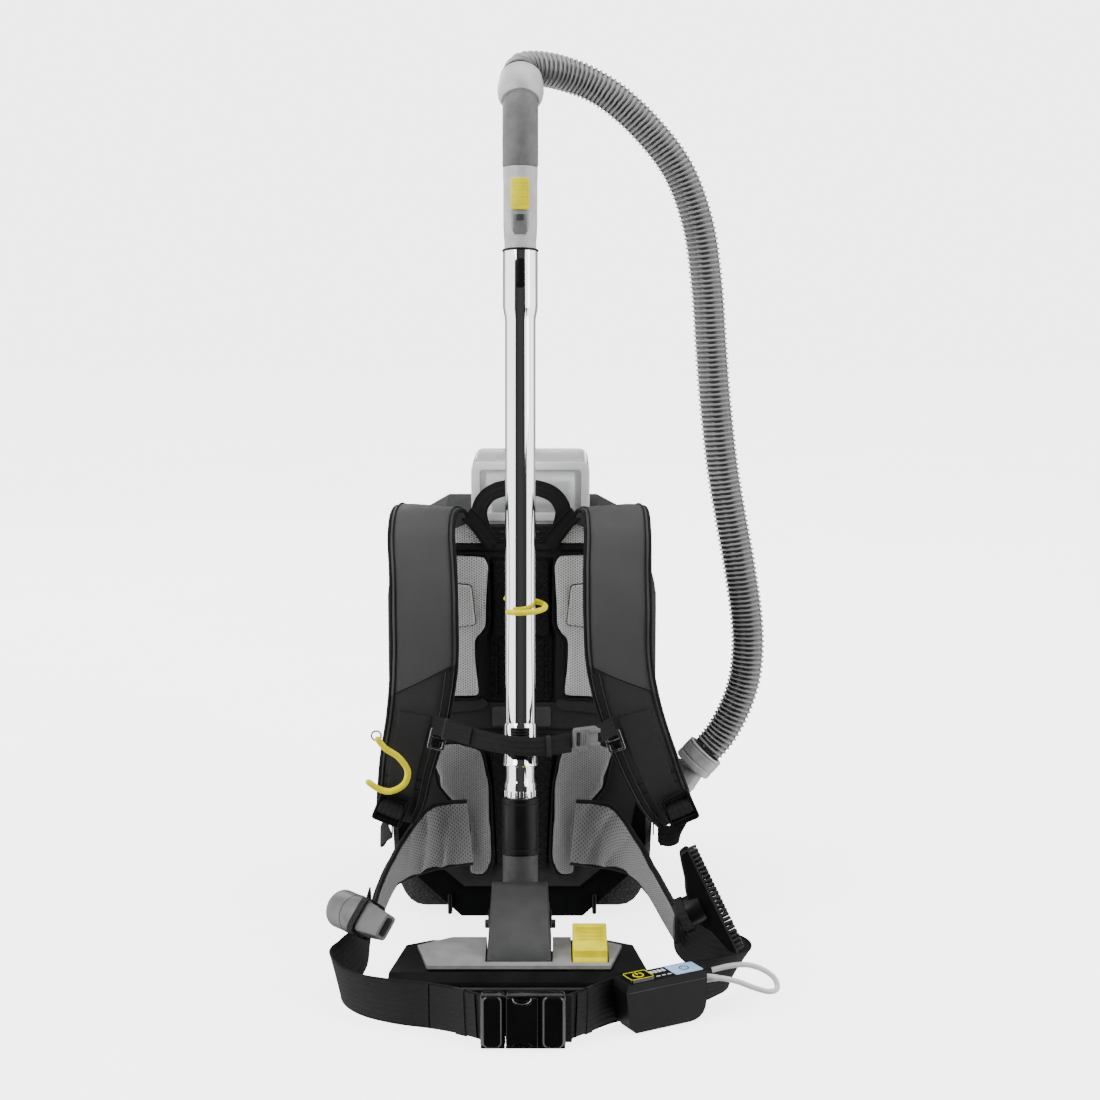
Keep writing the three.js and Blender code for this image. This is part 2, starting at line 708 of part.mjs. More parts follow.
// Crevice tool in its loop on the left of the belt.
const CREVICE = { at: [-172, -372, 92], axis: [0.62, -0.78, 0.03] };
function alongAxis(geometry, { at, axis }) {
  const turn = new THREE.Quaternion().setFromUnitVectors(
    new THREE.Vector3(0, 0, 1), vec(axis).normalize(),
  );
  return geometry.applyQuaternion(turn).translate(...at);
}
function roundToFlat(z, r, w, h, blend, sides = 24) {
  return Array.from({ length: sides }, (_, i) => {
    const a = (2 * Math.PI * i) / sides + Math.PI / sides;
    const c = Math.cos(a);
    const s = Math.sin(a);
    const k = 1 / Math.max(Math.abs(c), Math.abs(s));
    const square = [(w / 2) * c * k, (h / 2) * s * k];
    return new THREE.Vector3(
      r * c * (1 - blend) + square[0] * blend,
      r * s * (1 - blend) + square[1] * blend,
      z,
    );
  });
}
function creviceTool() {
  const skin = (t) => loft([
    roundToFlat(-40, 21.5 - t, 0, 0, 0), roundToFlat(-9, 21.5 - t, 0, 0, 0),
    roundToFlat(1, 20 - t, 26 - 2 * t, 36 - 2 * t, 0.85), roundToFlat(46, 10, 15 - 2 * t, 28 - 2 * t, 1),
  ]);
  const bore = skin(3);
  const shell = cut(skin(0), bore.clone().translate(0, 0, -1), bore.clone().translate(0, 0, 1));
  return alongAxis(shell, CREVICE);
}
add(harness, "crevice_tool", creviceTool(), greyPlastic);
function creviceLoop() {
  const ring = cut(box(-15.6, 15.6, -20.8, 20.8, 3, 13), box(-14, 14, -19.2, 19.2, 0, 20));
  return alongAxis(ring, CREVICE);
}
add(harness, "crevice_loop", creviceLoop(), webbing);

// Brush tool on the right, its neck in a loop above the wing's tip.
const BRUSH = { at: [210.5, -395, 121], tilt: 25.5 };
const brush = new THREE.Group();
brush.position.set(...BRUSH.at);
brush.rotation.y = rad(-BRUSH.tilt); // its own Z runs along the bar, its own -X along the neck
harness.add(brush);
function brushTool() {
  const outline = polygon([
    [8.5, 64], [0, 66], [-11, 64], [-14, 53], [-18.5, 33], [-24, 20], [-24, -22], [-18, -29], [-11, -55],
    [-8, -63], [0, -66], [8.5, -64],
  ]);
  const body = frontSlab(outline, -9, 9);
  const neck = rod(17, [-44, 0, -2], [-14, 0, -2], 20);
  const bore = rod(14, [-60, 0, -2], [-26, 0, -2], 16);
  return cut(join(body, neck), bore);
}
add(brush, "brush_tool", brushTool(), blackPlastic);
function brushLoop() {
  const ring = pipe([[18.8, -41], [18.8, -31]], 17.4).rotateY(Math.PI / 2).translate(0, 0, -2);
  return join(ring, box(-41, -31, -8, 8, -28, -20));
}
add(brush, "brush_loop", brushLoop(), webbing);

// Yellow hook that swings on the left shoulder strap.
const STRAP_HOOK = [
  [-166, -225, 256], [-156, -225, 243], [-140, -226, 232], [-130, -227, 216], [-134, -227, 201],
  [-150, -227, 192], [-164, -227, 195], [-178, -227, 205],
];
add(harness, "strap_hook", cord(STRAP_HOOK, 3.7, 22, 8), yellow);

// Yellow ring hook on the back panel that holds the wand.
function wandHook() {
  const at = { x: 2, y: -209.6, z: 404, r: 26.6, rise: 8 };
  const points = [];
  for (let a = -208; a <= 50; a += 21.5) {
    const up = ((a + 208) / 258) ** 2;
    points.push([at.x - at.r * Math.sin(rad(a)), at.y + at.r * Math.cos(rad(a)), at.z + at.rise * up]);
  }
  const ring = cord(points, 3.2, 30, 8);
  const stem = rod(3.2, [at.x, at.y + at.r - 0.5, at.z + 5.3], [at.x, PANEL_FRONT - GAP, at.z + 5.3], 8);
  return join(ring, stem);
}
add(harness, "wand_hook", wandHook(), yellow);

// ---------------------------------------------------------------- floor nozzle, upright on the floor
const nozzle = new THREE.Group();
root.add(nozzle);
const PIVOT = { y: WAND_FOOT[1], z: WAND_FOOT[2] };

function nozzleBody() {
  const { half, front, back, top } = NOZZLE;
  const plan = polygon([
    [-half, front], [half, front], [half - 4, front + 22], [127, -323], [84, back],
    [-84, back], [-127, -323], [4 - half, front + 22],
  ]);
  const side = polygon([
    [front, 0], [back, 0], [back, 32], [-308, top], [-402, top - 2], [front + 1, 31], [front, 28],
  ]);
  const block = common(planSlab(plan, 0, top + 1), sideSlab(side, -half - 1, half + 1));
  const body = cut(
    block,
    box(-HOOD.half - 0.5, HOOD.half + 0.5, HOOD.front - 0.5, back + 5, 26, top + 5),
    box(-115, 115, -374, -346, -5, 18),
    box(-28, 28, -374, back + 5, 14, 28),
    box(-126, 126, -399, -383, -5, 16),
    box(57.5, 98.5, -389, -316, 22, top + 5),
    box(43, 57, WHEEL.y - 17, WHEEL.y + 17, -5, 32),
    box(-57, -43, WHEEL.y - 17, WHEEL.y + 17, -5, 32),
  );
  const axles = [-1, 1].map((s) => rod(2, [s * 42, WHEEL.y, WHEEL.z], [s * 58, WHEEL.y, WHEEL.z], 12));
  return join(body, ...axles);
}
add(nozzle, "nozzle_body", nozzleBody(), blackPlastic);

function nozzleTopPlate() {
  const z0 = NOZZLE.top + GAP;
  const plan = polygon([
    [-100, -399], [100, -399], [114, -336], [76, -310], [-76, -310], [-114, -336],
  ]);
  return cut(
    planSlab(plan, z0, z0 + 4),
    box(-HOOD.half - 0.5, HOOD.half + 0.5, HOOD.front - 0.5, -300, z0 - 1, z0 + 5),
    box(57.5, 98.5, -389, -300, z0 - 1, z0 + 5),
  );
}
add(nozzle, "nozzle_top_plate", nozzleTopPlate(), lightGrey);

// The hood over the air way carries the neck's pivot between its cheeks.
function nozzleHood() {
  const { half, wall, front, top } = HOOD;
  const outer = polygon([
    [front, 26.5], [front, 48], [-291, top], [-285, top], [-268, 78], [-250, 66], [-248, 40], [-262, 26.5],
  ]);
  const inner = polygon([
    [front + wall, 20], [front + wall, 45], [-291 + wall, top - 5], [-284, top + 5], [-230, top + 5],
    [-230, 20],
  ]);
  const cheeks = cut(sideSlab(outer, -half, half), sideSlab(inner, wall - half, half - wall));
  const bore = rod(5.4, [-50, PIVOT.y, PIVOT.z], [50, PIVOT.y, PIVOT.z]);
  return cut(cheeks, bore);
}
add(nozzle, "nozzle_hood", nozzleHood(), greyPlastic);

function nozzlePedal() {
  const side = polygon([[-387, 30], [-387, 47], [-381, 57], [-326, 69], [-318, 62], [-318, 42], [-345, 40]]);
  return sideSlab(side, 59, 97);
}
add(nozzle, "nozzle_pedal", nozzlePedal(), yellow);

function brushStrip() {
  return join(box(-123, 123, -396.5, -385.5, 4.5, 10.4), box(-121, 121, -394, -388, 0.5, 5));
}
add(nozzle, "brush_strip", brushStrip(), blackPlastic);

for (const [side, x] of [["left", -50], ["right", 50]])
  add(
    nozzle,
    "nozzle_wheel_" + side,
    pipe([[13, -5.5], [WHEEL.r, -4], [WHEEL.r, 4], [13, 5.5]], 2.4)
      .rotateY(Math.PI / 2)
      .translate(x, WHEEL.y, WHEEL.z),
    midGrey,
  );

// ---------------------------------------------------------------- wand, along its own leaning axis
const wand = new THREE.Group();
wand.position.set(...WAND_FOOT);
wand.rotation.x = rad(-WAND_LEAN);
root.add(wand);

// The neck's barrel turns between the hood's cheeks on its two pins.
function nozzleNeck() {
  const barrel = rod(19.5, [-30, 0, 0], [30, 0, 0], 24);
  const pins = rod(5, [-40.5, 0, 0], [40.5, 0, 0]);
  const tube = turned([
    [0, 0], [18, 0], [20.2, 26], [20.2, SLEEVE.from - GAP], [16.6, SLEEVE.from - GAP], [16.6, 98], [0, 98],
  ]);
  const bore = rod(14, [0, 0, 10], [0, 0, 110]);
  const mouth = rod(14, [0, -30, 0], [0, 0, 0]);
  return cut(join(barrel, pins, tube), bore, mouth);
}
add(wand, "nozzle_neck", nozzleNeck(), midGrey);
add(
  wand,
  "nozzle_sleeve",
  pipe(
    [
      [SLEEVE.r - 1, SLEEVE.from], [SLEEVE.r, SLEEVE.from + 2],
      [SLEEVE.r, SLEEVE.to - 1], [SLEEVE.r - 1, SLEEVE.to],
    ],
    SLEEVE.bore,
  ),
  blackPlastic,
);

function lowerTube() {
  const outer = [
    [16.4, 102], [16.4, SLEEVE.to + 1], [18, SLEEVE.to + 1.5], [18, 158], [16.4, 164], [16.2, 180],
    [TUBE.inner, 184], [TUBE.inner, 640],
  ];
  const notches = [45, 135, 225, 315].map((a) =>
    box(-3, 3, 12, 22, SLEEVE.to - 1, 154).rotateZ(rad(a)),
  );
  return cut(pipe(outer, TUBE.innerBore), ...notches);
}
add(wand, "lower_tube", lowerTube(), chrome);

function upperTube() {
  const r = TUBE.outer;
  const b = TUBE.outerBore;
  return turned([
    [r, 186], [r, 692], [20, 706], [20, TUBE_TOP - 2], [20.8, TUBE_TOP - 1.5], [20.8, TUBE_TOP],
    [19.1, TUBE_TOP], [19.1, 707], [b, 693], [b, 186], [r, 186],
  ]);
}
add(wand, "upper_tube", upperTube(), chrome);
add(
  wand,
  "lock_collar",
  turned([
    [COLLAR.r - 0.8, COLLAR.from], [COLLAR.r + 0.6, COLLAR.from + 1], [COLLAR.r + 0.6, COLLAR.from + 3],
    [COLLAR.r, COLLAR.from + 4], [COLLAR.r, COLLAR.to - 1], [COLLAR.r - 0.6, COLLAR.to], [17.8, COLLAR.to],
    [17.8, 185.6], [16.5, 185.6], [16.5, COLLAR.from], [COLLAR.r - 0.8, COLLAR.from],
  ]),
  chrome,
);
add(wand, "lock_button", arcPlate(COLLAR.r + GAP + 0.5, 21.8, 32, 190, 226), blackPlastic);

// The handle: a spigot in the tube's socket, a straight grip, and a bend back to the hose.
function bendStation(degrees, r, past = 0) {
  const t = rad(degrees);
  return {
    y: HANDLE.bendR * (1 - Math.cos(t)) + past * Math.sin(t),
    z: HANDLE.bendFrom + HANDLE.bendR * Math.sin(t) + past * Math.cos(t),
    lean: degrees,
    r,
  };
}
const straight = (z, r) => ({ y: 0, z, lean: 0, r });
const GRIP = { from: 866, to: 31, r: 20.2, core: 17.6 };
function handleBody() {
  const { r } = HANDLE;
  const { core } = GRIP;
  const outer = bentTube([
    straight(738, 18.7), straight(TUBE_TOP + GAP, 18.7), straight(TUBE_TOP + GAP + 0.1, 18),
    straight(784, 18.4), straight(788, r), straight(856, r), straight(GRIP.from - 1, 20.2),
    straight(GRIP.from - GAP, core),
    straight(HANDLE.bendFrom, core), bendStation(9, core), bendStation(18, core), bendStation(27, core),
    bendStation(GRIP.to + 1, core), bendStation(GRIP.to + 1.2, 22), bendStation(38, 25.5),
    bendStation(HANDLE.bend, HANDLE.ball), bendStation(HANDLE.bend, 26.4, 12),
    bendStation(HANDLE.bend, HANDLE.rim, 25),
  ]);
  const bore = bentTube(
    [
      straight(730, HANDLE.bore), straight(HANDLE.bendFrom, HANDLE.bore), bendStation(12, HANDLE.bore),
      bendStation(24, HANDLE.bore), bendStation(36, HANDLE.bore), bendStation(HANDLE.bend, HANDLE.bore, 1),
      bendStation(HANDLE.bend, 20, 8), bendStation(HANDLE.bend, 20, 40),
    ],
    16,
  );
  return cut(outer, bore);
}
function handleGrip() {
  const skin = (r, ends) =>
    bentTube([
      straight(GRIP.from - ends, r), straight(HANDLE.bendFrom, r), bendStation(9, r), bendStation(18, r),
      bendStation(27, r), bendStation(GRIP.to + ends * 0.8, r),
    ]);
  return cut(skin(GRIP.r, 0), skin(GRIP.core + GAP, 2));
}
add(wand, "handle_body", handleBody(), lightGrey);
add(wand, "handle_grip", handleGrip(), midGrey);
add(wand, "air_slider", arcPlate(HANDLE.r + 0.5, 22.8, 31, 814, 852), yellow);

// Swivel cuff of the hose, inside the rim of the handle's ball.
function handleCuff() {
  const ring = pipe([[19.4, 9], [19.4, 25.5], [22.5, 26], [22.5, 31], [21.5, 32]], 16);
  const end = bendStation(HANDLE.bend, 0);
  return ring.rotateX(rad(-HANDLE.bend)).translate(0, end.y, end.z);
}
add(wand, "handle_cuff", handleCuff(), blackPlastic);

// ---------------------------------------------------------------- hose
const HOSE_R = 20.8;
const HOSE = [
  [231.2, -20, 186.2], [240, -19.5, 196], [250, -19, 210], [265, -18, 240], [275.5, -16, 273],
  [279.5, -14, 311], [278, -12, 349], [268.5, -10, 414], [257, -8, 474], [246, -6, 536],
  [235.5, -4, 622], [230, -2, 687], [224, 0, 761], [212.5, 1, 834], [188, 2, 898], [149, 0, 948],
  [108, -4, 984], [76, -9, 1002], [51, -17, 1010.5], [34, -25, 1014.3], [21, -31.5, 1015.8],
  [10, -37.5, 1015.7], [2.5, -43.8, 1013.8], [0, -49, 1011], [0, -54.9, 1007.07],
];
add(root, "hose", cord(HOSE, HOSE_R, 56, 12), hoseGrey);

export default root;
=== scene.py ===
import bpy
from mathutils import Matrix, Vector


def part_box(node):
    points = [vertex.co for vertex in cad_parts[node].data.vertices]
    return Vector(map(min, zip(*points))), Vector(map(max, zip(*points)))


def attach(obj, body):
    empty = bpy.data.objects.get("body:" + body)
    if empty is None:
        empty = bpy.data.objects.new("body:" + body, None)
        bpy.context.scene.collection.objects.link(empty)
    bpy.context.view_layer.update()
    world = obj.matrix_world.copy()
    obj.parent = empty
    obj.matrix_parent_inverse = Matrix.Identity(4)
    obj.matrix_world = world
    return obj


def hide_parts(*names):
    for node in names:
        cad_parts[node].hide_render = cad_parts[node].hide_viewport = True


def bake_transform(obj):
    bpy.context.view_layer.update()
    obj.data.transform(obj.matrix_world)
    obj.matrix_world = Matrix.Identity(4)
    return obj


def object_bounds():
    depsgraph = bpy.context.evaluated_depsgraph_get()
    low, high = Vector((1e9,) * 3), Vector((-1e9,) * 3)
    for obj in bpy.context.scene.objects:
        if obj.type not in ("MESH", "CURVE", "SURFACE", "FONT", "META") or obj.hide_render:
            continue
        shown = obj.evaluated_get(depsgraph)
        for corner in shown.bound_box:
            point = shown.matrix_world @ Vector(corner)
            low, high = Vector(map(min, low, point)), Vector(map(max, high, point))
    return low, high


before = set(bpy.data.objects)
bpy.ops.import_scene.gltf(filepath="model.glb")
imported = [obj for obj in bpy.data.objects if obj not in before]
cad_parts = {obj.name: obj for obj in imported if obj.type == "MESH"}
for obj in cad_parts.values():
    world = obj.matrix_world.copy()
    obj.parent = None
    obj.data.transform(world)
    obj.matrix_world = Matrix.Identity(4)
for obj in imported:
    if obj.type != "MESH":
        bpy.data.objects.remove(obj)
cad_bounds = [list(corner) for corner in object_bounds()]

# Backpack vacuum cleaner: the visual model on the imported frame. Numbers are millimetres in the frame of
# the CAD model (+Z up, the harness faces -Y, the hose comes out on +X); MM makes them metres.
import math
import random

import bmesh
import bpy
from mathutils import Matrix, Vector

MM = 0.001
random.seed(7)


def mm(points):
    return [Vector(point) * MM for point in points]


def frame_at(origin, turn=None):
    """A local frame at origin, given in mm."""
    return Matrix.Translation(Vector(origin) * MM) @ (turn or Matrix.Identity(4))


def turned(degrees, axis):
    return Matrix.Rotation(math.radians(degrees), 4, axis)


def along(axis):
    """The turn that takes local Z to axis."""
    return Vector((0, 0, 1)).rotation_difference(Vector(axis)).to_matrix().to_4x4()


# ---------------------------------------------------------------- places the CAD model sets
WORLD = Matrix.Identity(4)
SIDES = (("left", -1), ("right", 1))
WAND = frame_at((0, -271.6, 48), turned(-10, "X"))      # local Z runs up the wand
UNIT = frame_at((151, -446, 1), turned(28.7, "Z"))      # local X runs along the control unit
CREVICE = frame_at((-172, -372, 92), along((0.62, -0.78, 0.03)))
BRUSH = frame_at((210.5, -395, 121), turned(-25.5, "Y"))  # local Z runs along the bar, -X along the neck
CUFF = frame_at((220, -20, 174), along((0.67, 0, 0.742)))
BEND = {"start": 902, "radius": 80, "end": 45}          # the handle's bend, on the wand's axis

HOSE_ROUTE = mm([
    (231.2, -20, 186.2), (240, -19.5, 196), (250, -19, 210), (265, -18, 240), (275.5, -16, 273),
    (279.5, -14, 311), (278, -12, 349), (268.5, -10, 414), (257, -8, 474), (246, -6, 536),
    (235.5, -4, 622), (230, -2, 687), (224, 0, 761), (212.5, 1, 834), (188, 2, 898), (149, 0, 948),
    (108, -4, 984), (76, -9, 1002), (51, -17, 1010.5), (34, -25, 1014.3), (21, -31.5, 1015.8),
    (10, -37.5, 1015.7), (2.5, -43.8, 1013.8), (0, -49, 1011), (0, -54.9, 1007.07),
])
HOSE_RADIUS = 20.8 * MM
CABLE_ROUTE = mm([
    (200, -421.5, 41), (216, -424, 42), (235, -426, 39), (255, -425, 31), (271, -421, 25.5),
    (279.5, -414, 26), (278, -407, 34), (266, -403, 43), (249, -401, 48), (232, -400, 47),
    (219, -399.5, 44), (210, -400.5, 42),
])
CABLE_RADIUS = 3 * MM


# ---------------------------------------------------------------- camera, floor and light
def make_stage():
    camera = bpy.data.objects.new("camera", bpy.data.cameras.new("camera"))
    camera.data.lens, camera.data.sensor_width = 70, 36
    camera.location = (0.034, -2.61, 0.895)
    camera.rotation_euler = (math.radians(80), 0, 0)
    bpy.context.collection.objects.link(camera)
    bpy.context.scene.camera = camera

    bpy.ops.mesh.primitive_plane_add(size=14, location=(0, 0, min(0, cad_bounds[0][2])))
    floor = bpy.context.object
    floor.name = "floor"
    pale = Finish("pale_floor", (0.86, 0.86, 0.86), 0.75, Emission_Color=(1, 1, 1, 1), Emission_Strength=3.2,
                  Specular_IOR_Level=0.0)
    floor.data.materials.append(pale.speckle(3.0, 0.97, 1.02).material)
    floor.visible_diffuse = floor.visible_glossy = False     # the studio round it lights the object instead

    for name, place, aim, size, power in [
        ("key", (-1.9, -2.4, 2.4), (0, -0.2, 0.4), 1.6, 56),
        ("fill", (2.3, -2.0, 1.5), (0, -0.2, 0.4), 1.8, 30),
        ("top", (0.2, 0.4, 2.8), (0, -0.1, 0.4), 1.8, 34),
        ("rim", (-1.2, 2.2, 1.6), (0, 0, 0.4), 1.4, 26),
    ]:
        light = bpy.data.objects.new(name, bpy.data.lights.new(name, "AREA"))
        light.data.shape, light.data.size, light.data.energy = "SQUARE", size, power
        light.location = place
        light.rotation_euler = (Vector(aim) - Vector(place)).to_track_quat("-Z", "Y").to_euler()
        bpy.context.collection.objects.link(light)

    # A pale studio whose dark uprights give the chrome its stripes. The camera sees only the pale wall.
    world = bpy.data.worlds.new("studio")
    bpy.context.scene.world = world
    world.use_nodes = True
    tree = world.node_tree
    tree.nodes.clear()
    way = tree.nodes.new("ShaderNodeTexCoord").outputs["Generated"]
    parts = add_node(tree, "SeparateXYZ", {0: way}).outputs
    azimuth = add_node(tree, "Math", {0: parts["X"], 1: parts["Y"]}, operation="ARCTAN2").outputs[0]
    share = add_node(tree, "MapRange", {"Value": azimuth, "From Min": -math.pi, "From Max": math.pi})
    ramp = add_node(tree, "ValToRGB", {"Fac": share.outputs["Result"]})
    ramp.color_ramp.interpolation = "EASE"
    for element, (at, level) in zip(list(ramp.color_ramp.elements), STUDIO_ENDS):
        element.position, element.color = at, (level, level, level, 1)
    for at, level in STUDIO_UPRIGHTS:
        ramp.color_ramp.elements.new(at).color = (level, level, level, 1)
    around = add_node(tree, "Background", {"Color": ramp.outputs["Color"], "Strength": 3.0})
    seen = add_node(tree, "Background", {"Color": (0.93, 0.93, 0.93, 1), "Strength": 4.6})
    rays = add_node(tree, "LightPath", {}).outputs["Is Camera Ray"]
    choose = add_node(tree, "MixShader", {0: rays, 1: around.outputs[0], 2: seen.outputs[0]})
    add_node(tree, "OutputWorld", {0: choose.outputs[0]})


# Brightness round the studio, from behind the camera (0) over +X's far side back to behind the camera (1).
STUDIO_ENDS = [(0.0, 0.02), (1.0, 0.02)]
STUDIO_UPRIGHTS = [
    (0.098, 0.012), (0.112, 1.0), (0.31, 1.0), (0.35, 0.22), (0.44, 0.16), (0.455, 0.02), (0.545, 0.02),
    (0.56, 0.16), (0.65, 0.22), (0.69, 1.0), (0.85, 1.0), (0.866, 0.012),
]


# ---------------------------------------------------------------- materials
def add_node(tree, kind, inputs, **properties):
    """A shader node; each input is a value or the socket that feeds it."""
    node = tree.nodes.new("ShaderNode" + kind)
    for key, value in properties.items():
        setattr(node, key, value)
    for key, value in inputs.items():
        if isinstance(value, bpy.types.NodeSocket):
            tree.links.new(value, node.inputs[key])
        else:
            node.inputs[key].default_value = value
    return node


class Finish:
    """A Principled material. Each layer method adds nodes to it and returns the finish."""

    def __init__(self, name, color, roughness, space="Object", **sockets):
        self.material = bpy.data.materials.new(name)
        self.material.use_nodes = True
        self.tree = self.material.node_tree
        self.shader = self.tree.nodes["Principled BSDF"]
        self.color = color
        self.shader.inputs["Base Color"].default_value = (*color, 1)
        self.shader.inputs["Roughness"].default_value = roughness
        for socket, value in sockets.items():
            self.shader.inputs[socket.replace("_", " ")].default_value = value
        self.where = self.tree.nodes.new("ShaderNodeTexCoord").outputs[space]
        self.normal = None

    def add(self, kind, inputs, **properties):
        return add_node(self.tree, kind, inputs, **properties)

    def math(self, operation, a, b=0.0):
        return self.add("Math", {0: a, 1: b}, operation=operation).outputs[0]

    def spread(self, value, low, high, to_low=0.0, to_high=1.0):
        wanted = {"Value": value, "From Min": low, "From Max": high, "To Min": to_low, "To Max": to_high}
        return self.add("MapRange", wanted).outputs["Result"]

    def noise(self, scale, detail=2.0):
        wanted = {"Vector": self.where, "Scale": scale, "Detail": detail}
        return self.add("TexNoise", wanted).outputs["Fac"]

    def wave(self, pitch, way):
        """A cosine of that pitch in metres along way."""
        k = 2 * math.pi / pitch
        dot = self.add("VectorMath", {0: self.where, 1: Vector(way) * k}, operation="DOT_PRODUCT")
        return self.math("COSINE", dot.outputs["Value"])

    def shade(self, share, low, high):
        """Colour from low to high times the base colour, over the stretch of share from 0 to 1."""
        ends = {6: (*[c * low for c in self.color], 1), 7: (*[c * high for c in self.color], 1)}
        mix = self.add("Mix", {0: share, **ends}, data_type="RGBA")
        self.tree.links.new(mix.outputs[2], self.shader.inputs["Base Color"])
        return self

    def bump(self, height, depth):
        wanted = {"Height": height, "Distance": depth, "Strength": 1.0}
        if self.normal:
            wanted["Normal"] = self.normal
        self.normal = self.add("Bump", wanted).outputs["Normal"]
        self.tree.links.new(self.normal, self.shader.inputs["Normal"])
        return self

    def speckle(self, scale, low, high):
        return self.shade(self.spread(self.noise(scale), 0.35, 0.65), low, high)

    def darker_past(self, way, at, share):
        """Scales the colour by share past the line where way . place is at."""
        dot = self.add("VectorMath", {0: self.where, 1: way}, operation="DOT_PRODUCT").outputs["Value"]
        past = self.spread(dot, at - 0.0005, at + 0.0005, 1.0, share)
        color = self.shader.inputs["Base Color"]
        scaled = self.add("VectorMath", {0: color.links[0].from_socket, "Scale": past}, operation="SCALE")
        self.tree.links.new(scaled.outputs[0], color)
        return self

    def wear(self, scale, low, high):
        """Roughness that varies over the surface, as handling leaves it."""
        rough = self.spread(self.noise(scale, 4.0), 0.3, 0.7, low, high)
        self.tree.links.new(rough, self.shader.inputs["Roughness"])
        return self

    def grain(self, scale, depth):
        return self.bump(self.noise(scale), depth)

    def beads(self, size):
        """Moulded foam beads: rounded cells with thin dark joints."""
        wanted = {"Vector": self.where, "Scale": 1 / size}
        cells = self.add("TexVoronoi", wanted, feature="DISTANCE_TO_EDGE").outputs["Distance"]
        swell = self.spread(cells, 0.0, 0.16)
        self.bump(swell, 0.00045)
        return self.shade(swell, 0.45, 1.1)

    def honeycomb(self, pitch, low, high, depth):
        """A knitted spacer mesh: round openings on a hexagonal grid."""
        step = pitch * math.sqrt(3) / 2
        waves = [self.wave(step, (math.cos(a), math.sin(a), 0)) for a in (0, 2 * math.pi / 3,
                                                                          4 * math.pi / 3)]
        total = self.math("ADD", self.math("ADD", waves[0], waves[1]), waves[2])
        hole = self.spread(total, -0.3, 2.2)
        self.bump(self.spread(total, -1.5, 2.6, 1.0, 0.0), depth)
        return self.shade(hole, high, low)

    def weave(self, pitch, depth, low=0.8, high=1.15):
        """Over-and-under threads of that pitch."""
        cross = self.math("MULTIPLY", self.wave(pitch, (1, 0, 0)), self.wave(pitch, (0, 1, 0)))
        self.bump(cross, depth)
        return self.shade(self.spread(cross, -1, 1), low, high)

    def ribs(self, pitch, depth, way=(1, 0, 0)):
        return self.bump(self.wave(pitch, way), depth)

    def quilt(self, pitch, depth):
        """Diagonal quilting: lines of stitches that pull the cloth down."""
        half = math.sqrt(0.5)
        a = self.math("ABSOLUTE", self.wave(pitch * 2, (half, half, 0)))
        b = self.math("ABSOLUTE", self.wave(pitch * 2, (half, -half, 0)))
        return self.bump(self.spread(self.math("MINIMUM", a, b), 0.0, 0.5), depth)


def plastic(name, color, roughness, grain=0.00006, **sockets):
    finish = Finish(name, color, roughness, **sockets)
    finish.grain(1400, grain).grain(260, grain * 0.7)
    return finish.speckle(60, 0.88, 1.1).wear(35, roughness * 0.82, min(1.0, roughness * 1.2))


def strap_cloth(name):
    """The shoulder straps' cover, a little paler and smoother than the pack's other cloth."""
    finish = Finish(name, (0.046, 0.046, 0.0468), 0.5, "UV", Specular_IOR_Level=0.25)
    return finish.weave(0.0011, 0.00012).grain(120, 0.0004).wear(14, 0.4, 0.6)


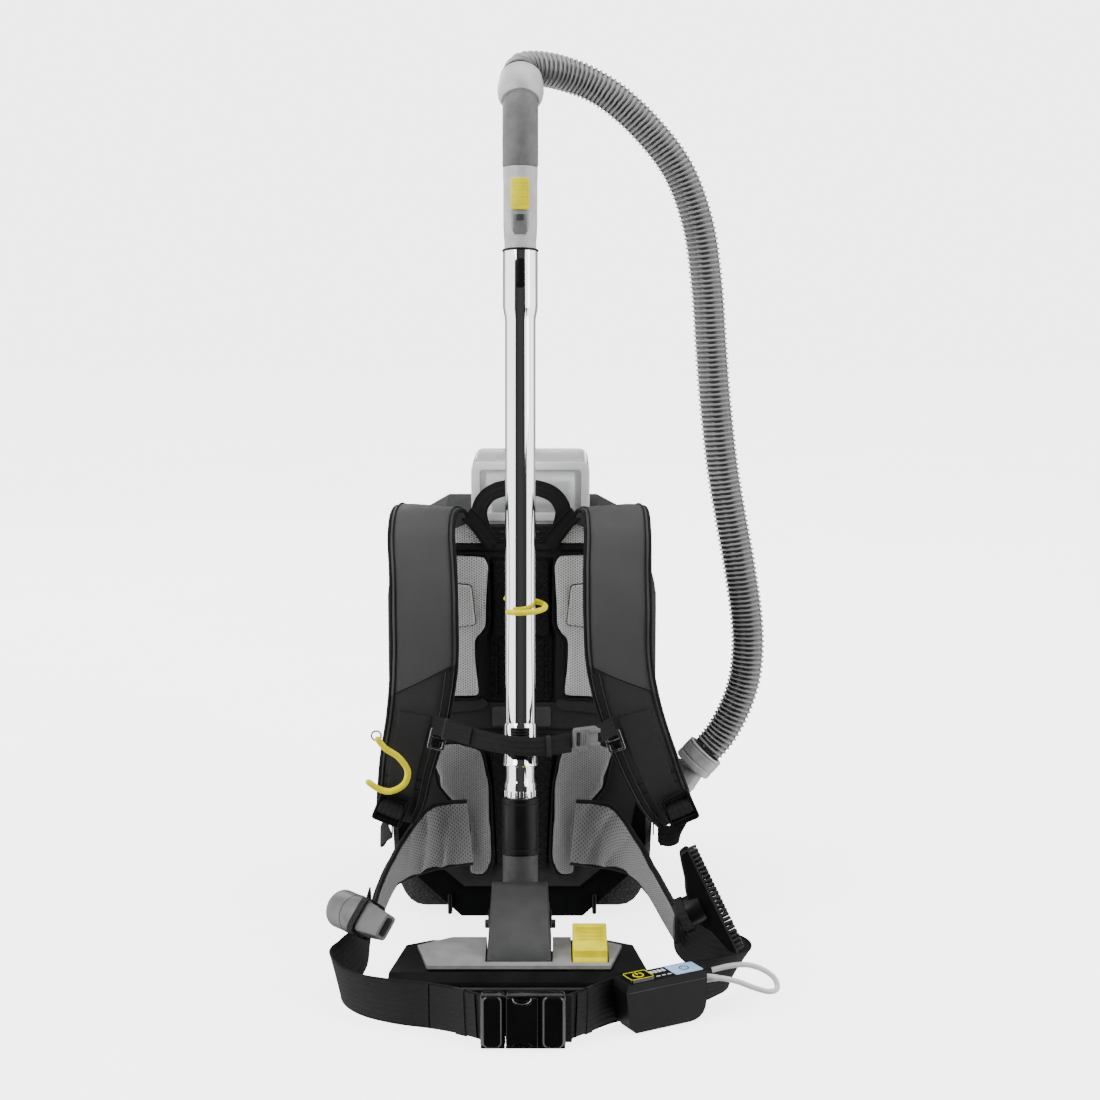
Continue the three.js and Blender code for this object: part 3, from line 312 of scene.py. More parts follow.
def make_materials():
    made = {
        "foam": Finish("beaded_foam", (0.034, 0.0345, 0.036), 0.8,
                       Specular_IOR_Level=0.15).beads(0.0042).grain(900, 0.0001),
        "black": plastic("black_plastic", (0.0055, 0.0055, 0.006), 0.34, Specular_IOR_Level=0.12),
        "gloss_black": plastic("black_gloss_plastic", (0.004, 0.004, 0.0045), 0.18, 0.00002,
                               Specular_IOR_Level=0.45),
        "grey": plastic("dark_grey_plastic", (0.020, 0.0203, 0.021), 0.42, Specular_IOR_Level=0.3),
        "mid_grey": plastic("mid_grey_plastic", (0.036, 0.0364, 0.0375), 0.45, Specular_IOR_Level=0.3),
        "handle_grey": plastic("grip_plastic", (0.12, 0.12, 0.122), 0.55, 0.00012, Specular_IOR_Level=0.25),
        "light_grey": plastic("light_grey_plastic", (0.40, 0.401, 0.404), 0.4),
        "tool_grey": plastic("tool_plastic", (0.085, 0.0855, 0.087), 0.45),
        "plate_grey": plastic("plate_plastic", (0.21, 0.211, 0.213), 0.42),
        "yellow": plastic("yellow_plastic", (0.68, 0.605, 0.0), 0.4, 0.00003, Specular_IOR_Level=0.1),
        "rubber": plastic("tyre_rubber", (0.02, 0.02, 0.021), 0.75, 0.0001),
        "chrome": Finish("chrome", (0.88, 0.88, 0.90), 0.05, Metallic=1.0).wear(18, 0.03, 0.08),
        "steel": Finish("dark_steel", (0.30, 0.30, 0.31), 0.25, Metallic=1.0).wear(60, 0.18, 0.35),
        "cover": Finish(
            "translucent_cover", (0.93, 0.935, 0.94), 0.16, Transmission_Weight=0.74, IOR=1.12,
        ).wear(40, 0.18, 0.28).grain(500, 0.00003),
        "cover_rim": Finish(
            "translucent_rim", (0.9, 0.905, 0.91), 0.35, Transmission_Weight=0.2, IOR=1.15,
        ).grain(500, 0.00003).speckle(20, 0.97, 1.02),
        "mesh": Finish("spacer_mesh", (0.54, 0.54, 0.542), 0.85, "UV", Specular_IOR_Level=0.1)
        .honeycomb(0.0032, 0.28, 1.15, 0.0007).grain(2500, 0.0001),
        "wing_mesh": Finish("wing_spacer_mesh", (0.19, 0.19, 0.192), 0.85, "UV", Specular_IOR_Level=0.1)
        .honeycomb(0.0030, 0.5, 1.12, 0.0005).grain(2500, 0.0001),
        "nylon": Finish("strap_cover", (0.023, 0.023, 0.0235), 0.6, "UV", Specular_IOR_Level=0.15)
        .weave(0.0011, 0.00012).grain(120, 0.0004),
        "patch": Finish("smooth_patch", (0.05, 0.0505, 0.052), 0.5, "UV", Specular_IOR_Level=0.2)
        .weave(0.0009, 0.00008),
        "quilt": Finish("quilted_panel", (0.008, 0.008, 0.0085), 0.7, "UV", Specular_IOR_Level=0.12)
        .quilt(0.009, 0.0014).weave(0.0012, 0.00015),
        "webbing": Finish("webbing", (0.010, 0.010, 0.0105), 0.6, "UV", Specular_IOR_Level=0.15)
        .weave(0.0016, 0.00022).ribs(0.0062, 0.00025, (0, 1, 0)),
        "binding": Finish("binding_tape", (0.004, 0.004, 0.0045), 0.6, "UV", Specular_IOR_Level=0.15)
        .ribs(0.0012, 0.00015),
        "thread": Finish("thread", (0.045, 0.045, 0.048), 0.7, "UV").ribs(0.0009, 0.0001),
        "hose": Finish("hose_plastic", (0.28, 0.281, 0.284), 0.3).grain(700, 0.00005).speckle(25, 0.92, 1.06),
        # hose grooves: a much darker copy of the hose plastic, painted shade in the grooves
        "hose_groove_shade": Finish("hose_groove_shade", (0.030, 0.0303, 0.031), 0.24, Specular_IOR_Level=0.6)
        .grain(700, 0.00005).speckle(25, 0.9, 1.1),
        "cable": Finish("cable_sheath", (0.55, 0.56, 0.57), 0.45).grain(900, 0.00004).speckle(30, 0.95, 1.04),
        "fleece": Finish("filter_fleece", (0.62, 0.60, 0.54), 0.95)
        .grain(300, 0.0006).speckle(80, 0.85, 1.05),
        "bristle": Finish("bristles", (0.012, 0.012, 0.013), 0.45).speckle(600, 0.6, 1.5),
        "blue": plastic("blue_label", (0.33, 0.52, 0.80), 0.35, 0.00001),
        "print": plastic("pale_print", (0.62, 0.63, 0.64), 0.5, 0.00001),
    }
    return {key: finish.material for key, finish in made.items()}


# ---------------------------------------------------------------- mesh tools
def box_mapped(mesh):
    """Flat UVs in metres, from the side each face looks to."""
    layer = mesh.uv_layers.new(name="flat")
    for face in mesh.polygons:
        drop = max(range(3), key=lambda i: abs(face.normal[i]))
        a, b = [(1, 2), (0, 2), (0, 1)][drop]
        for loop in face.loop_indices:
            at = mesh.vertices[mesh.loops[loop].vertex_index].co
            layer.data[loop].uv = (at[a], at[b])


def piece(name, mesh, look, body="pack", place=WORLD, sharp=35, stands_for=None):
    """Adds a mesh as a piece: mapped, smoothed and painted. It rides on its body, unless body is None."""
    mesh.transform(place)
    if not mesh.uv_layers:
        box_mapped(mesh)
    mesh.shade_smooth()
    mesh.set_sharp_from_angle(angle=math.radians(sharp))
    mesh.materials.clear()
    mesh.materials.append(LOOK[look])
    made = bpy.data.objects.new(name, mesh)
    bpy.context.collection.objects.link(made)
    if body:
        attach(made, body)
    if stands_for:
        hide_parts(stands_for)
    return made


def skin(rings, loop_rings=False, across=None, lengths=None):
    """A mesh through rings with the same number of points, capped at its ends unless the rings loop."""
    count = len(rings[0])
    faces = []
    for i in range(len(rings) if loop_rings else len(rings) - 1):
        k = (i + 1) % len(rings)
        for j in range(count):
            n = (j + 1) % count
            faces.append((i * count + j, i * count + n, k * count + n, k * count + j))
    if not loop_rings:
        faces.append(tuple(reversed(range(count))))
        faces.append(tuple(range((len(rings) - 1) * count, len(rings) * count)))
    mesh = bpy.data.meshes.new("skin")
    mesh.from_pydata([tuple(v) for ring in rings for v in ring], [], faces)
    mesh.update()
    if across:
        layer = mesh.uv_layers.new(name="flow")
        for loop, uv in zip(mesh.loops, layer.data):
            i, j = divmod(loop.vertex_index, count)
            uv.uv = (lengths[i], across[j])
    reworked(mesh, lambda work: bmesh.ops.recalc_face_normals(work, faces=work.faces))
    return mesh


def reworked(mesh, change):
    work = bmesh.new()
    work.from_mesh(mesh)
    change(work)
    work.to_mesh(mesh)
    work.free()


def compass(sides):
    """The angles of that many points round a circle."""
    return [2 * math.pi * j / sides for j in range(sides)]


def arc(radius, start, turn, steps, high=None):
    """Points on an arc round the origin, from start degrees through turn degrees more."""
    angles = [math.radians(start + turn * i / steps) for i in range(steps + 1)]
    return [(radius * math.cos(a), (high or radius) * math.sin(a)) for a in angles]


def smooth_line(points, steps):
    """Centripetal Catmull-Rom through points: (place, direction) at evenly spaced shares of the knots."""
    ends = [points[0] * 2 - points[1], *points, points[-1] * 2 - points[-2]]
    line = []
    for step in range(steps + 1):
        at = step / steps * (len(points) - 1)
        i = min(int(at), len(points) - 2)
        a, b, c, d = ends[i:i + 4]
        gaps = [max((q - p).length ** 0.5, 1e-9) for p, q in ((a, b), (b, c), (c, d))]
        leave = ((b - a) / gaps[0] - (c - a) / (gaps[0] + gaps[1]) + (c - b) / gaps[1]) * gaps[1]
        arrive = ((c - b) / gaps[1] - (d - b) / (gaps[1] + gaps[2]) + (d - c) / gaps[2]) * gaps[1]
        t = at - i
        place = (
            b * (2 * t**3 - 3 * t**2 + 1) + leave * (t**3 - 2 * t**2 + t)
            + c * (3 * t**2 - 2 * t**3) + arrive * (t**3 - t**2)
        )
        way = (
            b * (6 * t**2 - 6 * t) + leave * (3 * t**2 - 4 * t + 1)
            + c * (6 * t - 6 * t**2) + arrive * (3 * t**2 - 2 * t)
        )
        line.append((place, way.normalized()))
    return line


def blended(values, share):
    at = share * (len(values) - 1)
    i = min(int(at), len(values) - 2)
    return values[i] * (1 - (at - i)) + values[i + 1] * (at - i)


class Ribbon:
    """A smooth line with a width and a facing direction, for a strap and for what is sewn on it."""

    def __init__(self, points, faces, wide, steps=60):
        self.steps = steps
        self.faces = [Vector(face) for face in faces]
        self.wide = [w * MM for w in wide] if isinstance(wide, (list, tuple)) else [wide * MM] * 2
        self.line = smooth_line(mm(points), steps)

    def frame(self, share):
        at = share * self.steps
        i = min(int(at), self.steps - 1)
        (p, u), (q, v) = self.line[i], self.line[i + 1]
        place, way = p.lerp(q, at - i), u.lerp(v, at - i).normalized()
        across = way.cross(blended(self.faces, share)).normalized()
        return place, across, across.cross(way), blended(self.wide, share) / 2

    def length(self, share):
        """How far along the line that share is, in metres."""
        upto = self.line[:round(share * self.steps) + 1]
        return sum((b - a).length for (a, _), (b, _) in zip(upto, upto[1:]))

    def spot(self, share, side=0.0, lift=0.0):
        """The point at that share of the length, side half-widths across, lifted by lift mm."""
        place, across, out, half = self.frame(share)
        return place + across * side * half + out * lift * MM

    def run(self, start, end, side=0.0, lift=0.0, count=40, side_end=None):
        far = side if side_end is None else side_end
        return [
            self.spot(start + (end - start) * i / count, side + (far - side) * i / count, lift)
            for i in range(count + 1)
        ]

    def bar(self, radius, sides, *run):
        """A round bar of that radius in mm along a run."""
        return round_bar(self.run(*run), radius * MM, sides)

    def strap(self, thick, start=0.0, end=1.0, left=-1.0, right=1.0, lift=0.0, boxy=5.0, sides=28,
              wrinkle=None):
        """The strap's mesh, or a strip of it between two sides: thick mm thick and rounded at its edges."""
        rings, lengths, total, last = [], [], 0.0, None
        spans = max(4, round(self.steps * (end - start)))
        turns = compass(sides)
        for i in range(spans + 1):
            share = start + (end - start) * i / spans
            place, across, out, half = self.frame(share)
            place = place + across * half * (left + right) / 2 + out * lift * MM
            half *= (right - left) / 2
            total += (place - last).length if last else 0.0
            last = place
            lengths.append(total)
            ring = []
            for a in turns:
                c, s = math.cos(a), math.sin(a)
                u = math.copysign(abs(c) ** (2 / boxy), c)
                v = math.copysign(abs(s) ** (2 / boxy), s)
                puff = wrinkle(share, u, v) * MM if wrinkle else 0.0
                ring.append(place + across * u * half + out * (v * thick / 2 * MM + puff))
            rings.append(ring)
        middle = blended(self.wide, (start + end) / 2) / 2 * (right - left) / 2
        around = [math.copysign(abs(math.cos(a)) ** (2 / boxy), math.cos(a)) * middle for a in turns]
        return skin(rings, across=around, lengths=lengths)


def round_bar(points, radius, sides=12):
    """A round tube along points in metres; radius is in metres, or a list with one for each point."""
    radii = radius if isinstance(radius, list) else [radius] * len(points)
    rings, lengths, total = [], [], 0.0
    across = None
    for i, place in enumerate(points):
        way = (points[min(i + 1, len(points) - 1)] - points[max(i - 1, 0)]).normalized()
        across = way.orthogonal() if across is None else across - way * across.dot(way)
        across.normalize()
        out = way.cross(across)
        total += (place - points[i - 1]).length if i else 0.0
        lengths.append(total)
        rings.append([
            place + (across * math.cos(a) + out * math.sin(a)) * radii[i]
            for a in compass(sides)
        ])
    return skin(rings, across=[a * radii[0] for a in compass(sides)], lengths=lengths)


def wire(points, radius, sides=8):
    """A round bar whose points and radius are in mm."""
    return round_bar(mm(points), radius * MM, sides)


def smooth_bar(points, radius, steps=48, sides=12):
    return round_bar([place for place, _ in smooth_line(mm(points), steps)], radius * MM, sides)


def lathe(profile, sides=72, place=WORLD):
    """A round body about local Z from a profile of (radius, z) in mm; the profile closes on itself."""
    mesh = skin([mm([(r * math.cos(a), r * math.sin(a), z) for r, z in profile]) for a in compass(sides)],
                loop_rings=True)
    mesh.transform(place)
    return mesh


def pipe(outer, inner):
    """A lathe profile from an outer line going up and an inner line going up."""
    return [*outer, *reversed(inner)]


def rounded(x0, x1, y0, y1, r):
    """A rectangle's outline with round corners."""
    corners = [(x1 - r, y0 + r, -90), (x1 - r, y1 - r, 0), (x0 + r, y1 - r, 90), (x0 + r, y0 + r, 180)]
    return [(x + u, y + v) for x, y, start in corners for u, v in arc(r, start, 90, 6)]


def slab(outlines, thick, bevel=0.0, bevel_steps=3, place=WORLD):
    """A plate in local X and Y, from Z 0 up to thick mm. The outlines after the first are holes."""
    curve = bpy.data.curves.new("slab", "CURVE")
    curve.dimensions, curve.fill_mode = "2D", "BOTH"
    curve.extrude = (thick / 2 - bevel) * MM
    curve.bevel_depth, curve.bevel_resolution, curve.offset = bevel * MM, bevel_steps - 1, -bevel * MM
    for outline in outlines:
        spline = curve.splines.new("POLY")
        spline.points.add(len(outline) - 1)
        spline.use_cyclic_u = True
        for point, (x, y) in zip(spline.points, outline):
            point.co = (x * MM, y * MM, 0, 1)
    holder = bpy.data.objects.new("slab", curve)
    bpy.context.collection.objects.link(holder)
    bpy.context.view_layer.update()
    mesh = bpy.data.meshes.new_from_object(holder.evaluated_get(bpy.context.evaluated_depsgraph_get()))
    bpy.data.objects.remove(holder)
    bpy.data.curves.remove(curve)
    mesh.transform(Matrix.Translation((0, 0, thick / 2 * MM)))
    while mesh.uv_layers:
        mesh.uv_layers.remove(mesh.uv_layers[0])
    reworked(mesh, lambda work: bmesh.ops.remove_doubles(work, verts=work.verts, dist=0.00001))
    mesh.transform(place)
    return mesh


FRONT = Matrix.Rotation(math.radians(90), 4, "X")  # turns a slab to stand up, with its top face towards -Y
SIDE = Matrix(((0, 0, 1, 0), (1, 0, 0, 0), (0, 1, 0, 0), (0, 0, 0, 1)))  # local X, Y, Z to Y, Z, X


def front_at(y):
    """Stands a slab up so that its back face is at y mm and it grows towards -Y."""
    return Matrix.Translation((0, y * MM, 0)) @ FRONT


def side_at(x):
    """Stands a slab up in Y and Z so that it grows from x mm towards +X."""
    return Matrix.Translation((x * MM, 0, 0)) @ SIDE


def block(lo, hi, bevel=1.0, place=WORLD):
    """A box between two corners, in mm, with rounded edges."""
    work = bmesh.new()
    bmesh.ops.create_cube(work, size=1.0)
    size = Vector(hi) - Vector(lo)
    bmesh.ops.scale(work, vec=size * MM, verts=work.verts)
    bmesh.ops.translate(work, vec=(Vector(lo) + Vector(hi)) / 2 * MM, verts=work.verts)
    bmesh.ops.bevel(
        work, geom=list(work.edges), offset=min(bevel, min(size) * 0.45) * MM, segments=3,
        affect="EDGES", profile=0.5,
    )
    mesh = bpy.data.meshes.new("block")
    work.to_mesh(mesh)
    work.free()
    mesh.transform(place)
    return mesh


def joined(meshes):
    work = bmesh.new()
    work.loops.layers.uv.new("flat")
    for mesh in meshes:
        if not mesh.uv_layers:
            box_mapped(mesh)
        mesh.uv_layers[0].name = "flat"
        work.from_mesh(mesh)
    made = bpy.data.meshes.new("joined")
    work.to_mesh(made)
    work.free()
    return made


def keep(node, material, bevel=1.2, sharp=35, segments=3):
    """Shows a CAD node with its own material and rounded edges."""
    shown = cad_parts[node]
    shown.data.materials.clear()
    shown.data.materials.append(LOOK[material])
    shown.data.shade_smooth()
    shown.data.set_sharp_from_angle(angle=math.radians(sharp))
    if bevel:
        edges = shown.modifiers.new("edges", "BEVEL")
        edges.width, edges.segments = bevel * MM, segments
        edges.limit_method, edges.angle_limit = "ANGLE", math.radians(30)
        edges.harden_normals = True
    return shown


def puffed(mesh, cap, voxel=4.5, pressure=4.0):
    """Swells a pad's mesh by cloth simulation under inner pressure. No point moves further than cap mm."""
    holder = bpy.data.objects.new("puffing", mesh)
    bpy.context.collection.objects.link(holder)
    bpy.context.view_layer.objects.active = holder
    remesh = holder.modifiers.new("remesh", "REMESH")
    remesh.mode, remesh.voxel_size = "VOXEL", voxel * MM
    bpy.ops.object.select_all(action="DESELECT")
    holder.select_set(True)
    bpy.ops.object.modifier_apply(modifier="remesh")
    rest = [v.co.copy() for v in holder.data.vertices]
    cloth = holder.modifiers.new("cloth", "CLOTH")
    cloth.settings.use_pressure, cloth.settings.uniform_pressure_force = True, pressure
    cloth.settings.effector_weights.gravity = 0
    cloth.settings.quality = 5
    scene = bpy.context.scene
    for number in range(1, 21):
        scene.frame_set(number)
    bpy.ops.object.modifier_apply(modifier="cloth")
    scene.frame_set(1)
    for vertex, start in zip(holder.data.vertices, rest):
        moved = vertex.co - start
        if moved.length > cap * MM:
            vertex.co = start + moved.normalized() * cap * MM
    fine = holder.modifiers.new("fine", "SUBSURF")
    fine.levels = 1
    bpy.ops.object.modifier_apply(modifier="fine")
    made = holder.data
    bpy.data.objects.remove(holder)
    return made


LOOK = make_materials()


# ---------------------------------------------------------------- cords
def make_hose():
    """The corrugated suction hose: round crests a pitch apart with narrow grooves between them."""
    pitch, groove = 6.0 * MM, 2.7 * MM
    section = [(0.0, 0.9), (0.26, 1.0), (0.52, 0.9), (0.66, 0.3), (0.76, 0.0), (0.86, 0.3)]
    fine = [place for place, _ in smooth_line(HOSE_ROUTE, 600)]
    lengths = [0.0]
    for a, b in zip(fine, fine[1:]):
        lengths.append(lengths[-1] + (b - a).length)
    total = lengths[-1]
    turns = round(total / pitch)
    wanted = [
        ((i + share) * total / turns, HOSE_RADIUS - groove * depth)
        for i in range(turns) for share, depth in section
    ] + [(total, HOSE_RADIUS - groove)]
    points, radii, at = [], [], 0
    for length, radius in wanted:
        while at < len(lengths) - 2 and lengths[at + 1] < length:
            at += 1
        share = (length - lengths[at]) / (lengths[at + 1] - lengths[at])
        points.append(fine[at].lerp(fine[at + 1], min(share, 1.0)))
        radii.append(radius)
    sides = 40
    mesh = round_bar(points, radii, sides)
    made = piece("hose_corrugated", mesh, "hose", body=None, sharp=75, stands_for="hose")
    # The two deepest spans of each pitch get the dark groove material: painted shade in the grooves.
    mesh.materials.append(LOOK["hose_groove_shade"])
    for face in mesh.polygons:
        span = face.index // sides
        if span % len(section) < 2 and span < len(points) - 1:
            face.material_index = 1
    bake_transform(made)


def make_cable():
    points = [place for place, _ in smooth_line(CABLE_ROUTE, 70)]
    curve = bpy.data.curves.new("control_cable_sheath", "CURVE")
    curve.dimensions, curve.use_fill_caps = "3D", True
    curve.bevel_depth, curve.bevel_resolution = CABLE_RADIUS, 5
    spline = curve.splines.new("POLY")
    spline.points.add(len(points) - 1)
    for point, place in zip(spline.points, points):
        point.co = (*place, 1)
    spline.use_smooth = True
    curve.materials.append(LOOK["cable"])
    made = bpy.data.objects.new("control_cable_sheath", curve)
    bpy.context.collection.objects.link(made)
    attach(made, "pack")
    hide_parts("control_cable")
    radii = [5.2, 5.0, 4.6, 4.3, 4.0, 3.7, 3.3]
    relief = round_bar(points[:len(radii)], [r * MM for r in radii], 20)
    piece("cable_relief", relief, "cable")


# ---------------------------------------------------------------- wand
def station(z, radius):
    """A ring's place on the handle: z mm up the straight part."""
    return (0.0, z, 0.0, radius)


def bend_station(degrees, radius, past=0.0):
    t = math.radians(degrees)
    y = BEND["radius"] * (1 - math.cos(t)) + past * math.sin(t)
    return (y, BEND["start"] + BEND["radius"] * math.sin(t) + past * math.cos(t), degrees, radius)


def handle_loft(stations):
    rings = []
    for y, z, lean, radius in stations:
        t = math.radians(lean)
        rings.append([
            Vector((radius * math.cos(a), y + radius * math.sin(a) * math.cos(t),
                    z - radius * math.sin(a) * math.sin(t))) * MM
            for a in compass(64)
        ])
    return skin(rings)


def arc_patch(inner, outer, half_angle, z0, z1, rows=2, waves=0, depth=0.0, arcs=20, edge=1.2):
    """A curved plate about local Z that faces -Y; waves ridges of that depth run across its outside."""
    rings = []
    for i in range(rows + 1):
        z = z0 + (z1 - z0) * i / rows
        inset = edge if i in (0, rows) else 0.0
        lift = -depth * (0.5 + 0.5 * math.cos(2 * math.pi * waves * i / rows)) if waves else 0.0
        radius = outer + lift - (0.6 if inset else 0.0)
        turn = math.radians(half_angle) - inset / outer
        angles = [-math.pi / 2 - turn + 2 * turn * j / arcs for j in range(arcs + 1)]
        front = [(radius - (0.7 if j in (0, arcs) else 0.0), a) for j, a in enumerate(angles)]
        ring = front + [(inner, a) for a in reversed(angles)]
        rings.append([Vector((r * math.cos(a), r * math.sin(a), z)) * MM for r, a in ring])
    return skin(rings)


def make_wand():
    # floor end: neck, sleeve, crown and the fixed inner tube
    neck = lathe(pipe(
        [(17.0, 2), (18.4, 8), (20.2, 27), (20.2, 40), (19.7, 40.6), (19.7, 42.4), (20.2, 43), (20.2, 79.6)],
        [(14.2, 4), (14.2, 79.6)],
    ))
    barrel = lathe(pipe([(18.0, -30), (19.5, -28.8), (19.5, 28.8), (18.0, 30)], [(10, -30), (10, 30)]),
                   place=turned(90, "Y"))
    pins = [
        lathe([(0.01, x), (4.4, x), (5.0, x + 0.8), (5.0, x + 9.7), (4.4, x + 10.5), (0.01, x + 10.5)])
        for x in (-40.5, 30)
    ]
    for pin in pins:
        pin.transform(turned(90, "Y"))
    spigot = lathe(pipe([(16.6, 79.6), (16.6, 97), (15.8, 98)], [(14.2, 79.6), (14.2, 98)]))
    piece("neck_joint", joined([neck, barrel, spigot, *pins]), "mid_grey", "nozzle_neck", place=WAND,
          stands_for="nozzle_neck")
    sleeve = lathe(pipe(
        [(19.8, 80), (20.8, 81.2), (20.8, 86), (20.3, 86.6), (20.3, 88), (20.8, 88.6), (20.8, 138),
         (20.2, 138.6), (20.2, 141), (20.8, 141.6), (20.8, 144), (19.8, 145)],
        [(17.1, 80), (17.1, 145)],
    ))
    piece("nozzle_sleeve_ribbed", sleeve, "black", place=WAND, stands_for="nozzle_sleeve")

    inner = lathe(pipe(
        [(16.4, 102), (16.4, 146), (16.4, 158), (18.0, 158.4), (18.0, 160), (16.9, 163.5), (16.3, 168),
         (16.3, 180), (16.0, 184), (16.0, 640)],
        [(14.8, 102), (14.8, 640)],
    ), 96)
    crown = [lathe(pipe([(17.4, 152.5), (18.0, 153), (18.0, 158.4)], [(16.5, 152.5), (16.5, 158.4)]), 96)]
    for i in range(14):
        tooth = block((-2.4, 16.6, 145.6), (2.4, 18.0, 153.2), 0.5, place=turned(i * 360 / 14 + 6, "Z"))
        crown.append(tooth)
    piece("inner_tube", joined([inner, *crown]), "chrome", place=WAND, stands_for="lower_tube")

    # sliding outer tube, its flared socket and the lock
    outer = lathe(pipe(
        [(17.1, 186), (17.5, 187), (17.5, 690), (17.8, 694), (19.6, 703), (20.0, 707), (20.0, 769.5)],
        [(16.6, 186), (16.6, 691), (19.1, 706), (19.1, 769.5)],
    ), 96)
    piece("outer_tube", outer, "chrome", "wand_upper", place=WAND, stands_for="upper_tube")
    rim = lathe(pipe([(20.3, 769.4), (21.0, 770.2), (21.0, 771.6), (20.3, 772.2)],
                     [(19.1, 769.4), (19.1, 772.2)]))
    piece("outer_tube_rim", rim, "black", "wand_upper", place=WAND)
    dimple = arc_patch(19.9, 20.55, 17, 726, 760, rows=10, edge=2.0)
    piece("handle_catch", dimple, "black", "wand_upper", place=WAND)
    collar = lathe(pipe(
        [(18.4, 181), (19.8, 182), (19.8, 184), (19.2, 185), (19.2, 228.5), (18.6, 230)],
        [(16.5, 181), (16.5, 185.6), (17.8, 185.8), (17.8, 230)],
    ), 96)
    piece("collar_tube", collar, "chrome", "wand_upper", place=WAND, stands_for="lock_collar")
    ribbed = arc_patch(19.7, 21.8, 32, 208, 226, rows=36, waves=6, depth=0.9)
    smooth = arc_patch(19.7, 21.2, 32, 190, 207.6, rows=8, edge=1.6)
    notch = arc_patch(21.0, 21.7, 9, 192, 202, rows=4, edge=0.8)
    piece("lock_button_ribbed", joined([ribbed, smooth, notch]), "black", "lock_button", place=WAND,
          stands_for="lock_button")

    # handle
    ball = BEND["end"]
    shell = handle_loft([
        station(738, 16.0), station(738, 18.7), station(772.4, 18.7), station(772.5, 18.2),
        station(780, 18.3),
        station(788, 19.0), station(800, 19.45), station(815, 19.5), station(850, 19.6), station(861, 20.1),
        station(865.4, 20.1), station(865.6, 17.8), station(902, 17.8), bend_station(10, 17.8),
        bend_station(20, 17.8), bend_station(32.2, 17.8), bend_station(32.3, 22.0), bend_station(35, 24.0),
        bend_station(39, 26.0), bend_station(ball, 26.9), bend_station(ball, 26.8, 6),
        bend_station(ball, 26.2, 12),
        bend_station(ball, 25.3, 20), bend_station(ball, 24.9, 24.2), bend_station(ball, 24.3, 25.0),
        bend_station(ball, 23.2, 25.0), bend_station(ball, 20.4, 23.0), bend_station(ball, 20.2, 8.5),
    ])
    piece("handle_shell", shell, "light_grey", "wand_upper", place=WAND, sharp=40, stands_for="handle_body")
    grip = handle_loft([
        station(866.2, 17.9), station(866.2, 19.7), station(867.2, 20.2), station(885, 20.0),
        station(902, 20.0),
        bend_station(8, 20.0), bend_station(16, 20.0), bend_station(24, 20.1), bend_station(30, 20.2),
        bend_station(31, 19.6), bend_station(31, 17.9),
    ])
    piece("handle_grip_soft", grip, "handle_grey", "wand_upper", place=WAND, sharp=40,
          stands_for="handle_grip")
    seams = []
    for side in (-1, 1):
        spine = [Vector((side * 20.15, 0, z)) * MM for z in (868, 885, 902)]
        for degrees in (8, 16, 24, 30):
            y, z = bend_station(degrees, 0)[:2]
            spine.append(Vector((side * 20.15, y, z)) * MM)
        seams.append(round_bar(spine, 0.5 * MM, 8))
    piece("handle_grip_seams", joined(seams), "light_grey", "wand_upper", place=WAND)
    slider = arc_patch(20.0, 22.8, 29, 815, 851, rows=44, waves=0, edge=1.8)
    ridges = [arc_patch(22.6, 23.15, 20, z, z + 1.6, rows=2, edge=0.4) for z in range(821, 848, 4)]
    piece("air_slider_ribbed", joined([slider, *ridges]), "yellow", "air_slider", place=WAND,
          stands_for="air_slider")
    piece("slider_track", arc_patch(19.0, 19.72, 33, 790, 853.5, rows=8, edge=1.0), "plate_grey",
          "wand_upper", place=WAND)
    well = arc_patch(19.4, 19.8, 25, 787, 813.5, rows=6, edge=1.6)
    piece("slider_well", well, "handle_grey", "wand_upper", place=WAND)
    piece("bleed_port", arc_patch(19.5, 19.92, 14, 800, 812, rows=4, edge=2.4), "mid_grey", "wand_upper",
          place=WAND)
    middle = bend_station(ball, 0)
    cuff_place = WAND @ frame_at((0, middle[0], middle[1]), turned(-ball, "X"))
    cuff = lathe(pipe(
        [(18.6, 9), (19.4, 10), (19.4, 25.6), (22.5, 26.0), (22.9, 27.0), (22.9, 28.2), (22.3, 28.8),
         (22.3, 30.4), (21.4, 32)],
        [(16.2, 9), (16.2, 32)],
    ))
    seal = lathe(pipe([(23.2, 25.4), (24.6, 25.8), (24.6, 27.0), (23.0, 27.4)], [(20.6, 25.4), (20.6, 27.4)]))
    piece("hose_seal", seal, "black", "handle_cuff", place=cuff_place)
    piece("hose_swivel_ring", cuff, "black", "handle_cuff", place=cuff_place, stands_for="handle_cuff")


# ---------------------------------------------------------------- floor nozzle
HOOD = {"half": 36.5, "cheek": 5.0, "front": -387.0, "top": 102.0}


